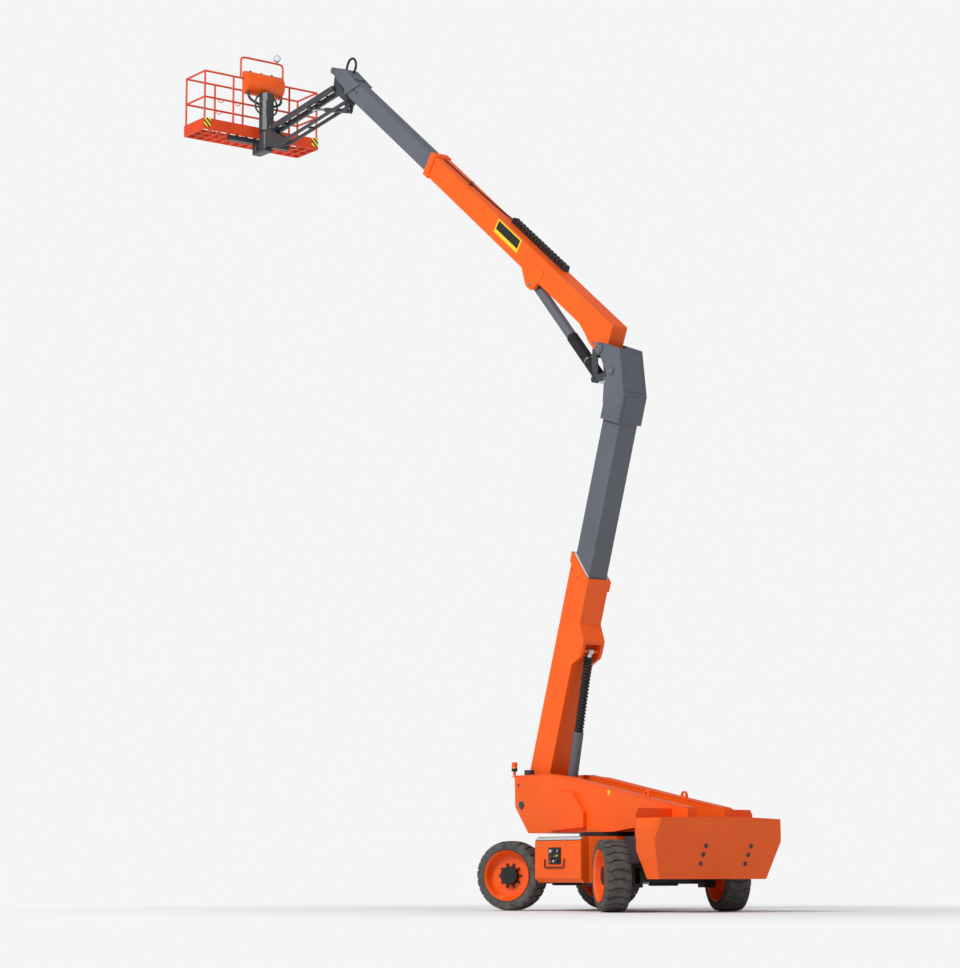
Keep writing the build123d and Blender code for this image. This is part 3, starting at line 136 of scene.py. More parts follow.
amber = finish("amberLens", (0.85, 0.36, 0.030), (0.70, 0.26, 0.020), 0.20, coat=0.8, scale=20.0)
glassLens = finish("lampLens", (0.75, 0.77, 0.80), (0.60, 0.62, 0.65), 0.10, coat=1.0, scale=30.0)

orangeNodes = ["turntable", "counterweight", "lower_boom_outer", "upper_boom_outer", "chassis_side_boxes"]
shinyNodes = ["control_console", "rim_front_left", "rim_front_right", "rim_rear_left", "rim_rear_right"]
railNodes = ["platform_rails", "platform_floor", "guard_hoop"]
greyNodes = [
    "lower_boom_inner", "elbow_head", "upper_boom_inner", "boom_tip",
    "lower_cylinder_barrel", "elbow_cylinder_barrel",
]
# dark grey parts; elbow_rocker gets it as painted shade, for the upper boom's shadow on a part as grey as the
# elbow head
darkAndShadedNodes = [
    "elbow_rocker", "elbow_coupler", "levelling_rocker", "jib_bracket", "jib_arm", "jib_link",
    "jib_cylinder_barrel", "jib_end", "platform_post", "chassis_valve_box",
]
steelNodes = [
    "lower_cylinder_rod", "elbow_cylinder_rod", "elbow_cylinder_sleeve", "jib_cylinder_rod",
    "steering_rod_front", "steering_rod_rear",
]
pinNodes = ["elbow_pin", "coupler_pin", "rocker_pin", "elbow_cylinder_pin"]
finishes = {}
for name in nodes:
    finishes[name] = blackPaint
for group, material in (
    (orangeNodes, orange), (shinyNodes, orangeShiny), (railNodes, railOrange), (greyNodes, greyPaint),
    (darkAndShadedNodes, darkGrey), (steelNodes, steel), (pinNodes, zinc),
):
    for name in group:
        finishes[name] = material
for name in nodes:
    if name.startswith("tyre"):
        finishes[name] = rubber
    if name.endswith("gaiter"):
        finishes[name] = gaiterRubber
finishes["chassis_frame"] = darkGrey
finishes["beacon"] = orange
for name, node in nodes.items():
    node.data.materials.clear()
    node.data.materials.append(finishes[name])
print("materials set")


# Making pieces

def freshen(name, material):
    piece = bpy.context.object
    piece.name = name
    piece.data.name = name
    piece.data.materials.clear()
    piece.data.materials.append(material)
    return piece


def carry(piece, body):
    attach(piece, body)
    return piece


def settle(piece, width=0.0, segments=2):
    bpy.ops.object.select_all(action="DESELECT")
    piece.select_set(True)
    bpy.context.view_layer.objects.active = piece
    if width:
        bevel = piece.modifiers.new("edge", "BEVEL")
        bevel.width = width
        bevel.segments = segments
        bevel.limit_method = "ANGLE"
        bevel.angle_limit = radians(35)
        bpy.ops.object.modifier_apply(modifier="edge")
    bpy.ops.object.transform_apply(location=True, rotation=True, scale=True)
    bpy.ops.object.shade_smooth_by_angle(angle=radians(35))
    piece.select_set(False)
    return piece


def framed(along, up):
    x = along.normalized()
    y = up.cross(x).normalized()
    z = x.cross(y)
    return Matrix((x, y, z)).transposed().to_4x4()


def blockPiece(name, centre, size, turn, material, body, width=0.004):
    bpy.ops.mesh.primitive_cube_add(size=1)
    piece = freshen(name, material)
    piece.matrix_world = Matrix.Translation(centre) @ turn @ Matrix.Diagonal((*size, 1))
    settle(piece, width)
    return carry(piece, body)


def rodPiece(name, start, end, radius, material, body, sides=20, width=0.002):
    bpy.ops.mesh.primitive_cylinder_add(vertices=sides, radius=radius, depth=(end - start).length)
    piece = freshen(name, material)
    turn = (end - start).to_track_quat("Z", "Y").to_matrix().to_4x4()
    piece.matrix_world = Matrix.Translation((start + end) / 2) @ turn
    settle(piece, width)
    return carry(piece, body)


def hosePiece(name, points, radius, material, body):
    curve = bpy.data.curves.new(name, "CURVE")
    curve.dimensions = "3D"
    curve.bevel_depth = radius
    curve.bevel_resolution = 3
    spline = curve.splines.new("NURBS")
    spline.points.add(len(points) - 1)
    for point, place in zip(spline.points, points):
        point.co = (*place, 1)
    spline.order_u = 3
    spline.use_endpoint_u = True
    spline.resolution_u = 8
    curve.use_fill_caps = True
    piece = bpy.data.objects.new(name, curve)
    scene.collection.objects.link(piece)
    curve.materials.append(material)
    return carry(piece, body)


def joined(name, parts):
    bpy.ops.object.select_all(action="DESELECT")
    for part in parts:
        part.select_set(True)
    bpy.context.view_layer.objects.active = parts[0]
    bpy.ops.object.join()
    piece = bpy.context.object
    piece.name = name
    piece.data.name = name
    bpy.ops.object.select_all(action="DESELECT")
    return piece


# share of the radius, sides, share of the depth: a round washer, then a six-sided head
boltStages = ((1.35, 20, 0.35), (1.0, 6, 1.0))
boltEdge = 0.12  # bevel, as a share of the radius


def boltRow(name, places, normal, radius, depth, material, body):
    parts = []
    for place in places:
        for share, sides, reach in boltStages:
            top = place + normal * depth * reach
            edge = radius * boltEdge
            parts.append(rodPiece(f"{name}Part", place, top, radius * share, material, body, sides, edge))
    return joined(name, parts)


# Camera: pitched up from near the ground, fitted to wheels, chassis, booms and platform
cameraFacts = {
    "place": (-31.6986, 25.7161, 0.5474), "heading": -0.631650, "pitch": 0.146262,
    "lens": 98.555, "sensor": 36.0, "near": 0.5, "far": 900,
}
camera = bpy.data.cameras.new("camera")
camera.lens = cameraFacts["lens"]
camera.sensor_width = cameraFacts["sensor"]
camera.clip_start = cameraFacts["near"]
camera.clip_end = cameraFacts["far"]
cameraObject = bpy.data.objects.new("camera", camera)
scene.collection.objects.link(cameraObject)
cameraObject.location = cameraFacts["place"]
rise, heading = cameraFacts["pitch"], cameraFacts["heading"]
gaze = Vector((cos(rise) * cos(heading), cos(rise) * sin(heading), sin(rise)))
cameraObject.rotation_mode = "QUATERNION"
cameraObject.rotation_quaternion = gaze.to_track_quat("-Z", "Y")
scene.camera = cameraObject

# Floor, pale, fading into the backdrop's tone away from the machine
backTone = 0.915
floorFacts = {"radius": 420, "drop": -0.002, "tone": 0.92, "roughness": 0.9, "fadeStart": 2, "fadeEnd": 12}
bpy.ops.mesh.primitive_circle_add(
    vertices=96, radius=floorFacts["radius"], fill_type="NGON", location=(0, 0, floorFacts["drop"]),
)
floor = bpy.context.object
floor.name = "studioFloor"
floorPaint = bpy.data.materials.new("studioFloor")
floorPaint.use_nodes = True
floorTree = floorPaint.node_tree
floorShader = floorTree.nodes["Principled BSDF"]
tone = floorFacts["tone"]
floorShader.inputs["Base Color"].default_value = (tone, tone, tone, 1)
floorShader.inputs["Roughness"].default_value = floorFacts["roughness"]
glow = floorTree.nodes.new("ShaderNodeEmission")
glow.inputs["Color"].default_value = (backTone, backTone, backTone * 1.002, 1)
away = floorTree.nodes.new("ShaderNodeTexCoord")
distance = floorTree.nodes.new("ShaderNodeVectorMath")
distance.operation = "LENGTH"
floorTree.links.new(away.outputs["Object"], distance.inputs[0])
fade = floorTree.nodes.new("ShaderNodeMapRange")
fade.interpolation_type = "SMOOTHSTEP"
fade.inputs["From Min"].default_value = floorFacts["fadeStart"]
fade.inputs["From Max"].default_value = floorFacts["fadeEnd"]
floorTree.links.new(distance.outputs["Value"], fade.inputs["Value"])
blend = floorTree.nodes.new("ShaderNodeMixShader")
floorTree.links.new(fade.outputs["Result"], blend.inputs["Fac"])
floorTree.links.new(floorShader.outputs["BSDF"], blend.inputs[1])
floorTree.links.new(glow.outputs["Emission"], blend.inputs[2])
floorTree.links.new(blend.outputs["Shader"], floorTree.nodes["Material Output"].inputs["Surface"])
floor.data.materials.append(floorPaint)

# World: the backdrop's tone where it is seen, an even fill elsewhere
fillStrength = 0.40
world = bpy.data.worlds.new("studio")
scene.world = world
world.use_nodes = True
worldTree = world.node_tree
sky = worldTree.nodes["Background"]
sky.inputs["Color"].default_value = (backTone, backTone, backTone * 1.002, 1)
fill = worldTree.nodes.new("ShaderNodeBackground")
fill.inputs["Color"].default_value = (0.95, 0.97, 1.0, 1)
fill.inputs["Strength"].default_value = fillStrength
seen = worldTree.nodes.new("ShaderNodeLightPath")
clear = worldTree.nodes.new("ShaderNodeMath")
clear.operation = "MAXIMUM"
worldTree.links.new(seen.outputs["Is Camera Ray"], clear.inputs[0])
worldTree.links.new(seen.outputs["Is Transmission Ray"], clear.inputs[1])
either = worldTree.nodes.new("ShaderNodeMixShader")
worldTree.links.new(clear.outputs["Value"], either.inputs["Fac"])
worldTree.links.new(fill.outputs["Background"], either.inputs[1])
worldTree.links.new(sky.outputs["Background"], either.inputs[2])
worldTree.links.new(either.outputs["Shader"], worldTree.nodes["World Output"].inputs["Surface"])

lightTarget = Vector((3, 0, 6))
lights = [
    {"name": "key", "place": (-6, 34, 30), "size": 14, "energy": 13500},
    {"name": "rim", "place": (-30, -12, 22), "size": 12, "energy": 350},
]
for facts in lights:
    lamp = bpy.data.lights.new(facts["name"], "AREA")
    lamp.shape = "DISK"
    lamp.size = facts["size"]
    lamp.energy = facts["energy"]
    lampObject = bpy.data.objects.new(facts["name"], lamp)
    scene.collection.objects.link(lampObject)
    lampObject.location = facts["place"]
    lampObject.rotation_mode = "QUATERNION"
    lampObject.rotation_quaternion = (lightTarget - Vector(facts["place"])).to_track_quat("-Z", "Y")
print("camera, floor and light set")

# Tyres: a carcass spun from its section, with a ring of zigzag tread blocks
tyreShape = {
    "rows": 24, "tread": 0.5285, "base": 0.506, "half": 0.190, "bead": 0.3718, "groove": 0.026, "wave": 0.036,
    "bevel": 0.004, "spinSteps": 72,
}
carcassSection = [
    (0.3718, -0.162), (0.392, -0.186), (0.420, -0.190), (0.478, -0.188), (0.500, -0.176), (0.506, -0.150),
    (0.506, 0.150), (0.500, 0.176), (0.478, 0.188), (0.420, 0.190), (0.392, 0.186), (0.3718, 0.162),
]
# across the tread, drop from the crown, share of the wave
blockStations = [
    (-0.190, 0.042, 0.0), (-0.176, 0.012, 0.0), (-0.122, 0.001, 0.0), (-0.062, 0.0, 1.0),
    (0.062, 0.0, 1.0), (0.122, 0.001, 0.0), (0.176, 0.012, 0.0), (0.190, 0.042, 0.0),
]


def pointChain(name, places):
    bpy.ops.mesh.primitive_plane_add(size=0.01)
    bpy.ops.object.mode_set(mode="EDIT")
    bpy.ops.mesh.merge(type="CENTER")
    bpy.ops.object.mode_set(mode="OBJECT")
    piece = bpy.context.object
    piece.name = name
    piece.data.vertices[0].co = places[0]
    bpy.ops.object.mode_set(mode="EDIT")
    for before, after in zip(places, places[1:]):
        step = Vector(after) - Vector(before)
        bpy.ops.mesh.extrude_region_move(TRANSFORM_OT_translate={"value": step})
    bpy.ops.mesh.select_all(action="SELECT")
    bpy.ops.object.mode_set(mode="OBJECT")
    return piece


def spunPiece(name, section, steps, material):
    loop = section + [section[0]]
    piece = pointChain(name, [(r, 0, w) for r, w in loop])
    bpy.ops.object.mode_set(mode="EDIT")
    bpy.ops.mesh.select_all(action="SELECT")
    bpy.ops.mesh.spin(steps=steps, angle=2 * pi, center=(0, 0, 0), axis=(0, 0, 1))
    bpy.ops.mesh.select_all(action="SELECT")
    bpy.ops.mesh.remove_doubles(threshold=0.0002)
    bpy.ops.mesh.normals_make_consistent(inside=False)
    bpy.ops.object.mode_set(mode="OBJECT")
    return freshen(name, material)


def treadBlock(name):
    across = len(blockStations)
    pitch = 2 * pi / tyreShape["rows"]
    gap = tyreShape["groove"] / tyreShape["tread"]
    wave = tyreShape["wave"] / tyreShape["tread"]
    bpy.ops.mesh.primitive_grid_add(x_subdivisions=across - 1, y_subdivisions=2, size=2)
    block = freshen(name, rubber)
    order = sorted(block.data.vertices, key=lambda v: (round(v.co.y, 3), v.co.x))
    for i, vertex in enumerate(order):
        row, column = divmod(i, across)
        w, drop, share = blockStations[column]
        angle = wave * (share - 0.5) + (row / 2 - 0.5) * (pitch - gap)
        radius = tyreShape["base"] - 0.012 - drop * 0.6
        vertex.co = (radius * cos(angle), radius * sin(angle), w)
    bpy.ops.object.mode_set(mode="EDIT")
    bpy.ops.mesh.select_all(action="SELECT")
    bpy.ops.mesh.extrude_region_move(TRANSFORM_OT_translate={"value": (0, 0, 0)})
    bpy.ops.object.mode_set(mode="OBJECT")
    for vertex in block.data.vertices:
        if vertex.select:
            column = min(range(across), key=lambda c: abs(blockStations[c][0] - vertex.co.z))
            drop = blockStations[column][1]
            flat = Vector((vertex.co.x, vertex.co.y, 0)).normalized() * (tyreShape["tread"] - drop - 0.0005)
            vertex.co = (flat.x, flat.y, vertex.co.z)
    bpy.ops.object.mode_set(mode="EDIT")
    bpy.ops.mesh.select_all(action="SELECT")
    bpy.ops.mesh.normals_make_consistent(inside=False)
    bpy.ops.object.mode_set(mode="OBJECT")
    bevel = block.modifiers.new("edge", "BEVEL")
    bevel.width = tyreShape["bevel"]
    bevel.segments = 1
    bevel.limit_method = "ANGLE"
    bevel.angle_limit = radians(40)
    bpy.ops.object.modifier_apply(modifier="edge")
    return block


def copyOf(piece, name, turn):
    twin = piece.copy()
    twin.data = piece.data.copy()
    twin.name = name
    twin.data.name = name
    scene.collection.objects.link(twin)
    twin.matrix_world = turn @ piece.matrix_world
    return twin


carcass = spunPiece("tyreModel", carcassSection, tyreShape["spinSteps"], rubber)
bpy.ops.object.select_all(action="DESELECT")
block = treadBlock("treadModel")
rows = [carcass]
for i in range(tyreShape["rows"]):
    rows.append(copyOf(block, f"tread{i}", Matrix.Rotation(2 * pi * i / tyreShape["rows"], 4, "Z")))
bpy.data.objects.remove(block)
tyreModel = joined("tyreModel", rows)

# corner, end (+1 front), side (+1 left), steering angle at rest in degrees
corners = [
    ("front_left", 1, 1, 26), ("front_right", 1, -1, 20),
    ("rear_left", -1, 1, -26), ("rear_right", -1, -1, -20),
]
kingpin = {"x": 1.3325, "y": 0.778, "z": 0.5285, "reach": 0.274}


def wheelTurn(end, side, steer):
    a = radians(steer)
    out = Vector((-sin(a), cos(a), 0)) * side
    centre = Vector((end * kingpin["x"], side * kingpin["y"], kingpin["z"])) + out * kingpin["reach"]
    ahead = Vector((cos(a), sin(a), 0))
    turn = Matrix((ahead, out.cross(ahead), out)).transposed().to_4x4()
    return Matrix.Translation(centre) @ turn


for corner, end, side, steer in corners:
    parts = corner.split("_")
    name = "tyre" + parts[0].title() + parts[1].title()
    tyre = copyOf(tyreModel, name, wheelTurn(end, side, steer))
    bpy.ops.object.select_all(action="DESELECT")
    settle(tyre)
    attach(tyre, "wheel_" + corner)
    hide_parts("tyre_" + corner)
bpy.data.objects.remove(tyreModel)
print("tyres made")

# Plates: an outline filled and drawn out
def platePiece(name, places, depth, material, body, width=0.002):
    piece = pointChain(name, list(places) + [places[0]])
    bpy.ops.object.mode_set(mode="EDIT")
    bpy.ops.mesh.select_all(action="SELECT")
    bpy.ops.mesh.remove_doubles(threshold=0.0001)
    bpy.ops.mesh.select_all(action="SELECT")
    bpy.ops.mesh.edge_face_add()
    bpy.ops.mesh.extrude_region_move(TRANSFORM_OT_translate={"value": depth})
    bpy.ops.mesh.select_all(action="SELECT")
    bpy.ops.mesh.normals_make_consistent(inside=False)
    bpy.ops.object.mode_set(mode="OBJECT")
    freshen(name, material)
    settle(piece, width)
    return carry(piece, body)


upright = Matrix.Identity(4)
bothSides = ((1, "Left"), (-1, "Right"))

# Gaiters: bellows between two collars
lowerFoot = Vector((1.175, 0, 1.262))
lowerEye = Vector((0.56345, 0, 3.98738))
elbowFoot = Vector((1.86862, 0, 10.04278))
elbowEye = Vector((0.20450, 0, 8.22807))
# span: distances from the foot to both ends; keep: share of the length left when the cylinder is closed
gaiters = [
    {"name": "lowerBellows", "node": "lower_cylinder_gaiter", "foot": lowerFoot, "eye": lowerEye,
     "span": (1.5205, 2.700), "radius": 0.0745, "folds": 22, "body": "lower_rod",
     "joint": "lower_cylinder_stroke", "keep": 0.348},
    {"name": "sleeveBellows", "node": "elbow_sleeve_gaiter", "foot": elbowFoot, "eye": elbowEye,
     "span": (1.3505, 1.9585), "radius": 0.0970, "folds": 12, "body": "elbow_sleeve",
     "joint": "elbow_sleeve_stroke", "keep": 0.044},
    {"name": "elbowBellows", "node": "elbow_cylinder_gaiter", "foot": elbowFoot, "eye": elbowEye,
     "span": (1.9895, 2.3900), "radius": 0.0970, "folds": 8, "body": "elbow_rod",
     "joint": "elbow_cylinder_stroke", "keep": 0.098},
]
bellows = {"depth": 0.021, "wall": 0.004, "crestStart": 0.38, "crestEnd": 0.62, "spinSteps": 36}
for facts in gaiters:
    start, end = facts["span"]
    along = (facts["eye"] - facts["foot"]).normalized()
    length = end - start
    pitch = length / facts["folds"]
    crest = facts["radius"]
    valley = crest - bellows["depth"]
    section = [(valley, 0.0)]
    for i in range(facts["folds"]):
        section.append((crest, (i + bellows["crestStart"]) * pitch))
        section.append((crest, (i + bellows["crestEnd"]) * pitch))
        section.append((valley, (i + 1) * pitch))
    section += [(valley - bellows["wall"], length), (valley - bellows["wall"], 0.0)]
    gaiter = spunPiece(facts["name"], section, bellows["spinSteps"], gaiterRubber)
    turn = along.to_track_quat("Z", "Y").to_matrix().to_4x4()
    gaiter.matrix_world = Matrix.Translation(facts["foot"] + along * start) @ turn
    settle(gaiter)
    carry(gaiter, facts["body"])
    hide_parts(facts["node"])
    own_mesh(gaiter)
print("gaiters made")

# Chassis: control panel, guard bar, blank sign strips, door, latches, valve hoses
panel = {"x": 0.066, "z": 0.823, "width": 0.290, "height": 0.246, "thick": 0.014, "face": 1.080}
blockPiece(
    "controlPanel", Vector((panel["x"], panel["face"] + 0.006, panel["z"])),
    (panel["width"], panel["thick"], panel["height"]), upright, blackPaint, "chassis",
)
# along, up, radius, reach, finish
panelKnobs = [
    (-0.09, 0.075, 0.024, 0.022, zinc), (0.0, 0.080, 0.020, 0.026, darkGrey),
    (0.085, 0.070, 0.026, 0.018, paleGrey), (-0.085, 0.0, 0.014, 0.032, yellow),
    (-0.02, -0.005, 0.014, 0.030, zinc), (0.075, -0.015, 0.030, 0.020, darkGrey),
    (-0.07, -0.075, 0.022, 0.034, darkGrey), (0.0, -0.080, 0.016, 0.030, paleGrey),
    (0.08, -0.085, 0.014, 0.026, zinc),
]
for i, (dx, dz, radius, reach, material) in enumerate(panelKnobs):
    place = Vector((panel["x"] + dx, panel["face"] + 0.012, panel["z"] + dz))
    rodPiece(f"panelKnob{i}", place, place + Vector((0, reach, 0)), radius, material, "chassis")
hosePiece("panelGuard", [
    (-0.166, 1.088, 0.775), (-0.166, 1.100, 0.70), (-0.166, 1.104, 0.654), (-0.10, 1.104, 0.650),
    (0.24, 1.104, 0.650), (0.302, 1.104, 0.654), (0.302, 1.100, 0.70), (0.302, 1.088, 0.775),
], 0.009, blackPaint, "chassis")
for side, label in bothSides:
    lean = Vector((0, 0.7071 * side, 0.7071))
    tilt = framed(Vector((1, 0, 0)), lean)
    middle = Vector((0, 1.0475 * side, 1.0775))
    rim, strip = (1.10, 0.080, 0.004), (1.07, 0.056, 0.005)
    blockPiece(f"signRim{label}", middle + lean * 0.001, rim, tilt, blackPaint, "chassis", 0.001)
    blockPiece(f"signStrip{label}", middle + lean * 0.002, strip, tilt, paleGrey, "chassis", 0.001)
    latches = [Vector((x, panel["face"] * side, 0.985)) for x in (-0.17, 0.42)]
    boltRow(f"boxLatch{label}", latches, Vector((0, side, 0)), 0.013, 0.010, zinc, "chassis")
blockPiece("boxDoor", Vector((0, -1.082, 0.76)), (0.74, 0.010, 0.42), upright, orange, "chassis", 0.004)
hinges = [Vector((x, -1.086, 0.95)) for x in (-0.30, 0.30)]
boltRow("doorHinges", hinges, Vector((0, -1, 0)), 0.016, 0.012, zinc, "chassis")
# across, height, how far out it ends
valveHoses = [(0.10, 0.84, 0.55), (0.16, 0.78, 0.62), (-0.10, 0.84, 0.55), (-0.16, 0.78, 0.62)]
for i, (y, z, reach) in enumerate(valveHoses):
    side = 1 if y > 0 else -1
    hosePiece(f"valveHose{i}", [
        (-1.69, y, z), (-1.74, y + side * 0.06, z - 0.02), (-1.72, y + side * 0.18, z - 0.08),
        (-1.60, side * 0.45, z - 0.06), (-1.45, side * (reach - 0.04), 0.76), (-1.33, side * reach, 0.695),
    ], 0.014, blackPaint, "chassis")
valveCaps = {"x": -1.64, "z": 0.90, "radius": 0.022}
capHeights = [(0.20, 0.06), (0.13, 0.09), (0.04, 0.05), (-0.06, 0.08), (-0.16, 0.06)]  # across, height
for i, (y, height) in enumerate(capHeights):
    base = Vector((valveCaps["x"], y, valveCaps["z"]))
    top = Vector((valveCaps["x"], y, valveCaps["z"] + height))
    rodPiece(f"valveCap{i}", base, top, valveCaps["radius"], zinc, "chassis")
for i, z in enumerate((0.66, 0.74, 0.82)):
    blockPiece(f"valveSpool{i}", Vector((-1.712, 0, z)), (0.030, 0.34, 0.050), upright, darkGrey, "chassis")
print("chassis pieces made")

# Turntable: top flanges, pin caps, bolts, inspection plate, tag, beacon head, lamp box
girderFace = 0.440
flangeSize = {"y": 0.354, "width": 0.186, "thick": 0.012}
flangeStart = Vector((1.00, 0, 2.080))
flangeEnd = Vector((-2.20, 0, 1.507))
slope = flangeEnd - flangeStart
for side, label in bothSides:
    y = flangeSize["y"] * side
    blockPiece(
        f"girderFlange{label}", (flangeStart + flangeEnd) / 2 + Vector((0, y, 0.004)),
        (slope.length, flangeSize["width"], flangeSize["thick"]), framed(slope, Vector((0, 0, 1))),
        orange, "turntable", 0.003,
    )
    blockPiece(
        f"girderBrow{label}", Vector((1.46, y, 2.084)), (0.92, flangeSize["width"], flangeSize["thick"]),
        upright, orange, "turntable", 0.003,
    )
    cap = Vector((1.740, girderFace * side, 1.620))
    rodPiece(f"footPinCap{label}", cap, cap + Vector((0, 0.012 * side, 0)), 0.062, darkGrey, "turntable", 32)
    boltRow(f"footPinBolts{label}", [
        cap + Vector((0.085 * cos(a), 0, 0.085 * sin(a))) for a in (0.5, 2.6, 4.7)
    ], Vector((0, side, 0)), 0.012, 0.010, zinc, "turntable")
    boltRow(f"girderBolts{label}", [
        Vector((x, girderFace * side, z))
        for x, z in ((1.823, 1.935), (0.966, 1.504), (0.824, 1.573), (0.513, 1.377))
    ], Vector((0, side, 0)), 0.017, 0.010, darkGrey, "turntable")
    plate = Vector((-1.138, girderFace * side, 1.405))
    rimFace = plate + Vector((0, 0.006 * side, 0))
    plateFace = plate + Vector((0, 0.010 * side, 0))
    rodPiece(f"roundPlateRim{label}", plate, rimFace, 0.078, darkGrey, "turntable", 36)
    rodPiece(f"roundPlate{label}", plate, plateFace, 0.068, orange, "turntable", 36)
tagSize = (0.055, 0.005, 0.075)
blockPiece("yellowTag", Vector((-0.44, 0.442, 1.765)), tagSize, upright, yellow, "turntable", 0.001)
beaconHead = {"x": 2.040, "y": 0.354, "foot": 2.160, "seat": 2.207, "radius": 0.0475}
lensSection = [
    (0.0, 2.206), (0.0460, 2.206), (0.0455, 2.222), (0.0440, 2.226), (0.0450, 2.238), (0.0435, 2.243),
    (0.0445, 2.256), (0.0430, 2.262), (0.0435, 2.278), (0.038, 2.296), (0.026, 2.304), (0.0, 2.307),
]
lens = spunPiece("beaconLens", lensSection, 32, amber)
lens.matrix_world = Matrix.Translation((beaconHead["x"], beaconHead["y"], 0))
settle(lens)
carry(lens, "turntable")
at = Vector((beaconHead["x"], beaconHead["y"], 0))
foot = at + Vector((0, 0, beaconHead["foot"]))
seat = at + Vector((0, 0, beaconHead["seat"]))
rodPiece("beaconBase", foot, seat, beaconHead["radius"], blackPaint, "turntable", 28)
blockPiece("lampBox", Vector((1.67, 0.34, 2.128)), (0.13, 0.10, 0.086), upright, darkGrey, "turntable", 0.008)
lensBack, lensFront = Vector((1.735, 0.34, 2.130)), Vector((1.745, 0.34, 2.130))
rodPiece("lampBoxLens", lensBack, lensFront, 0.032, glassLens, "turntable", 24)
# Counterweight bolts: its back face runs forward as it goes down
weightBack = {"x": -2.490, "top": 1.327, "slope": 0.232}
leanBack = Vector((-1, 0, -weightBack["slope"])).normalized()
boltRow("weightBolts", [
    Vector((weightBack["x"] + (weightBack["top"] - z) * weightBack["slope"], y, z)) for y, z in (
        (0.228, 0.956), (0.258, 0.831), (0.285, 0.701), (-0.641, 0.956), (-0.610, 0.831), (-0.572, 0.701),
    )
], leanBack, 0.027, 0.012, darkGrey, "turntable")
print("turntable pieces made")

# Lower boom: slide pads at the collar, bolts, eye pin caps, head plates and pin nuts
for side, label in bothSides:
    platePiece(f"collarPad{label}", [
        onLower(3.730, -0.215, 0.178 * side), onLower(3.765, -0.215, 0.178 * side),
        onLower(4.066, 0.215, 0.178 * side), onLower(4.030, 0.215, 0.178 * side),
    ], (0, 0.030 * side, 0), paleGrey, "lower_outer", 0.001)
    boltRow(f"collarBolts{label}", [
        onLower(s, t, 0.231 * side)
        for s, t in ((3.60, -0.20), (3.69, -0.20), (3.90, 0.19), (3.80, 0.19), (3.70, 0.02))
    ], Vector((0, side, 0)), 0.013, 0.010, orange, "lower_outer")
    boltRow(f"headBolts{label}", [
        onLower(s, t, 0.2305 * side) for s, t in ((6.27, -0.18), (6.27, 0.0), (6.27, 0.18), (6.45, -0.18))
    ], Vector((0, side, 0)), 0.012, 0.010, greyPaint, "lower_inner")
    cap = elbow + Vector((0, 0.258 * side, 0))
    capFace = cap + Vector((0, 0.012 * side, 0))
    nutFace = cap + Vector((0, 0.024 * side, 0))
    rodPiece(f"elbowPinCap{label}", cap, capFace, 0.036, zinc, "lower_inner", 28)
    rodPiece(f"elbowPinNut{label}", cap, nutFace, 0.016, darkGrey, "lower_inner", 6)
    footCap = elbowFoot + Vector((0, 0.168 * side, 0))
    footFace = footCap + Vector((0, 0.012 * side, 0))
    rodPiece(f"cylinderPinCap{label}", footCap, footFace, 0.024, zinc, "elbow_barrel", 24)
platePiece("collarPadFront", [
    onLower(4.050, 0.212, -0.18), onLower(4.068, 0.212, -0.18),
    onLower(4.068, 0.212, 0.18), onLower(4.050, 0.212, 0.18),
], tuple(lowerFront * 0.020), paleGrey, "lower_outer", 0.001)
headPlate = {"width": 0.34, "thick": 0.010, "backLength": 0.40, "slopeLength": 0.64}
blockPiece(
    "headBackPlate", onLower(6.43, -0.243), (headPlate["backLength"], headPlate["width"], headPlate["thick"]),
    framed(lowerAlong, -lowerFront), greyPaint, "lower_inner", 0.003,
)
backStart = onLower(6.66, -0.240)
backEnd = onLower(7.332, 0.090)
backRise = (backEnd - backStart).normalized()
backOut = (-lowerFront * 0.8976 + lowerAlong * 0.4408).normalized()
blockPiece(
    "headSlopePlate", (backStart + backEnd) / 2 + backOut * 0.003,
    (headPlate["slopeLength"], headPlate["width"], headPlate["thick"]), framed(backRise, backOut),
    greyPaint, "lower_inner", 0.003,
)
print("lower boom pieces made")

# Upper boom: side strips, blank yellow plate, bolts, hose clamp, tip eye
for side, label in bothSides:
    y = 0.150 * side
    platePiece(f"boomStrip{label}", [
        onUpper(4.23, 0.250, y), onUpper(4.27, 0.372, y), onUpper(6.03, 0.372, y), onUpper(6.03, 0.285, y),
    ], (0, 0.010 * side, 0), orange, "upper_outer", 0.002)
    boltRow(f"boomCollarBolts{label}", [
        onUpper(p, q, 0.171 * side) for p, q in ((6.16, 0.06), (6.16, 0.21), (6.16, 0.36), (6.08, 0.06))
    ], Vector((0, side, 0)), 0.012, 0.008, orange, "upper_outer")
    boltRow(f"tipBolts{label}", [
        onUpper(p, 0.225, 0.125 * side) for p in (9.190, 9.300)
    ], Vector((0, side, 0)), 0.017, 0.010, darkGrey, "upper_inner")
boomTurn = framed(upperAlong, Vector((0, 1, 0)))
yellowSize, panelSize = (0.80, 0.235, 0.005), (0.735, 0.150, 0.004)
blockPiece("yellowPlate", onUpper(3.373, 0.264, 0.152), yellowSize, boomTurn, yellow, "upper_outer", 0.001)
blockPiece("blackPanel", onUpper(3.373, 0.285, 0.1535), panelSize, boomTurn, blackPaint, "upper_outer", 0.001)
clampAt = 5.05
blockPiece(
    "hoseClampFoot", onUpper(clampAt, 0.405, 0.0), (0.05, 0.08, 0.012), framed(upperAlong, upperUp),
    blackPaint, "upper_outer",
)
hosePiece("hoseClamp", [
    onUpper(clampAt, 0.41, 0.03), onUpper(clampAt, 0.46, 0.03), onUpper(clampAt, 0.47, 0.0),
    onUpper(clampAt, 0.46, -0.03), onUpper(clampAt, 0.41, -0.03),
], 0.008, blackPaint, "upper_outer")
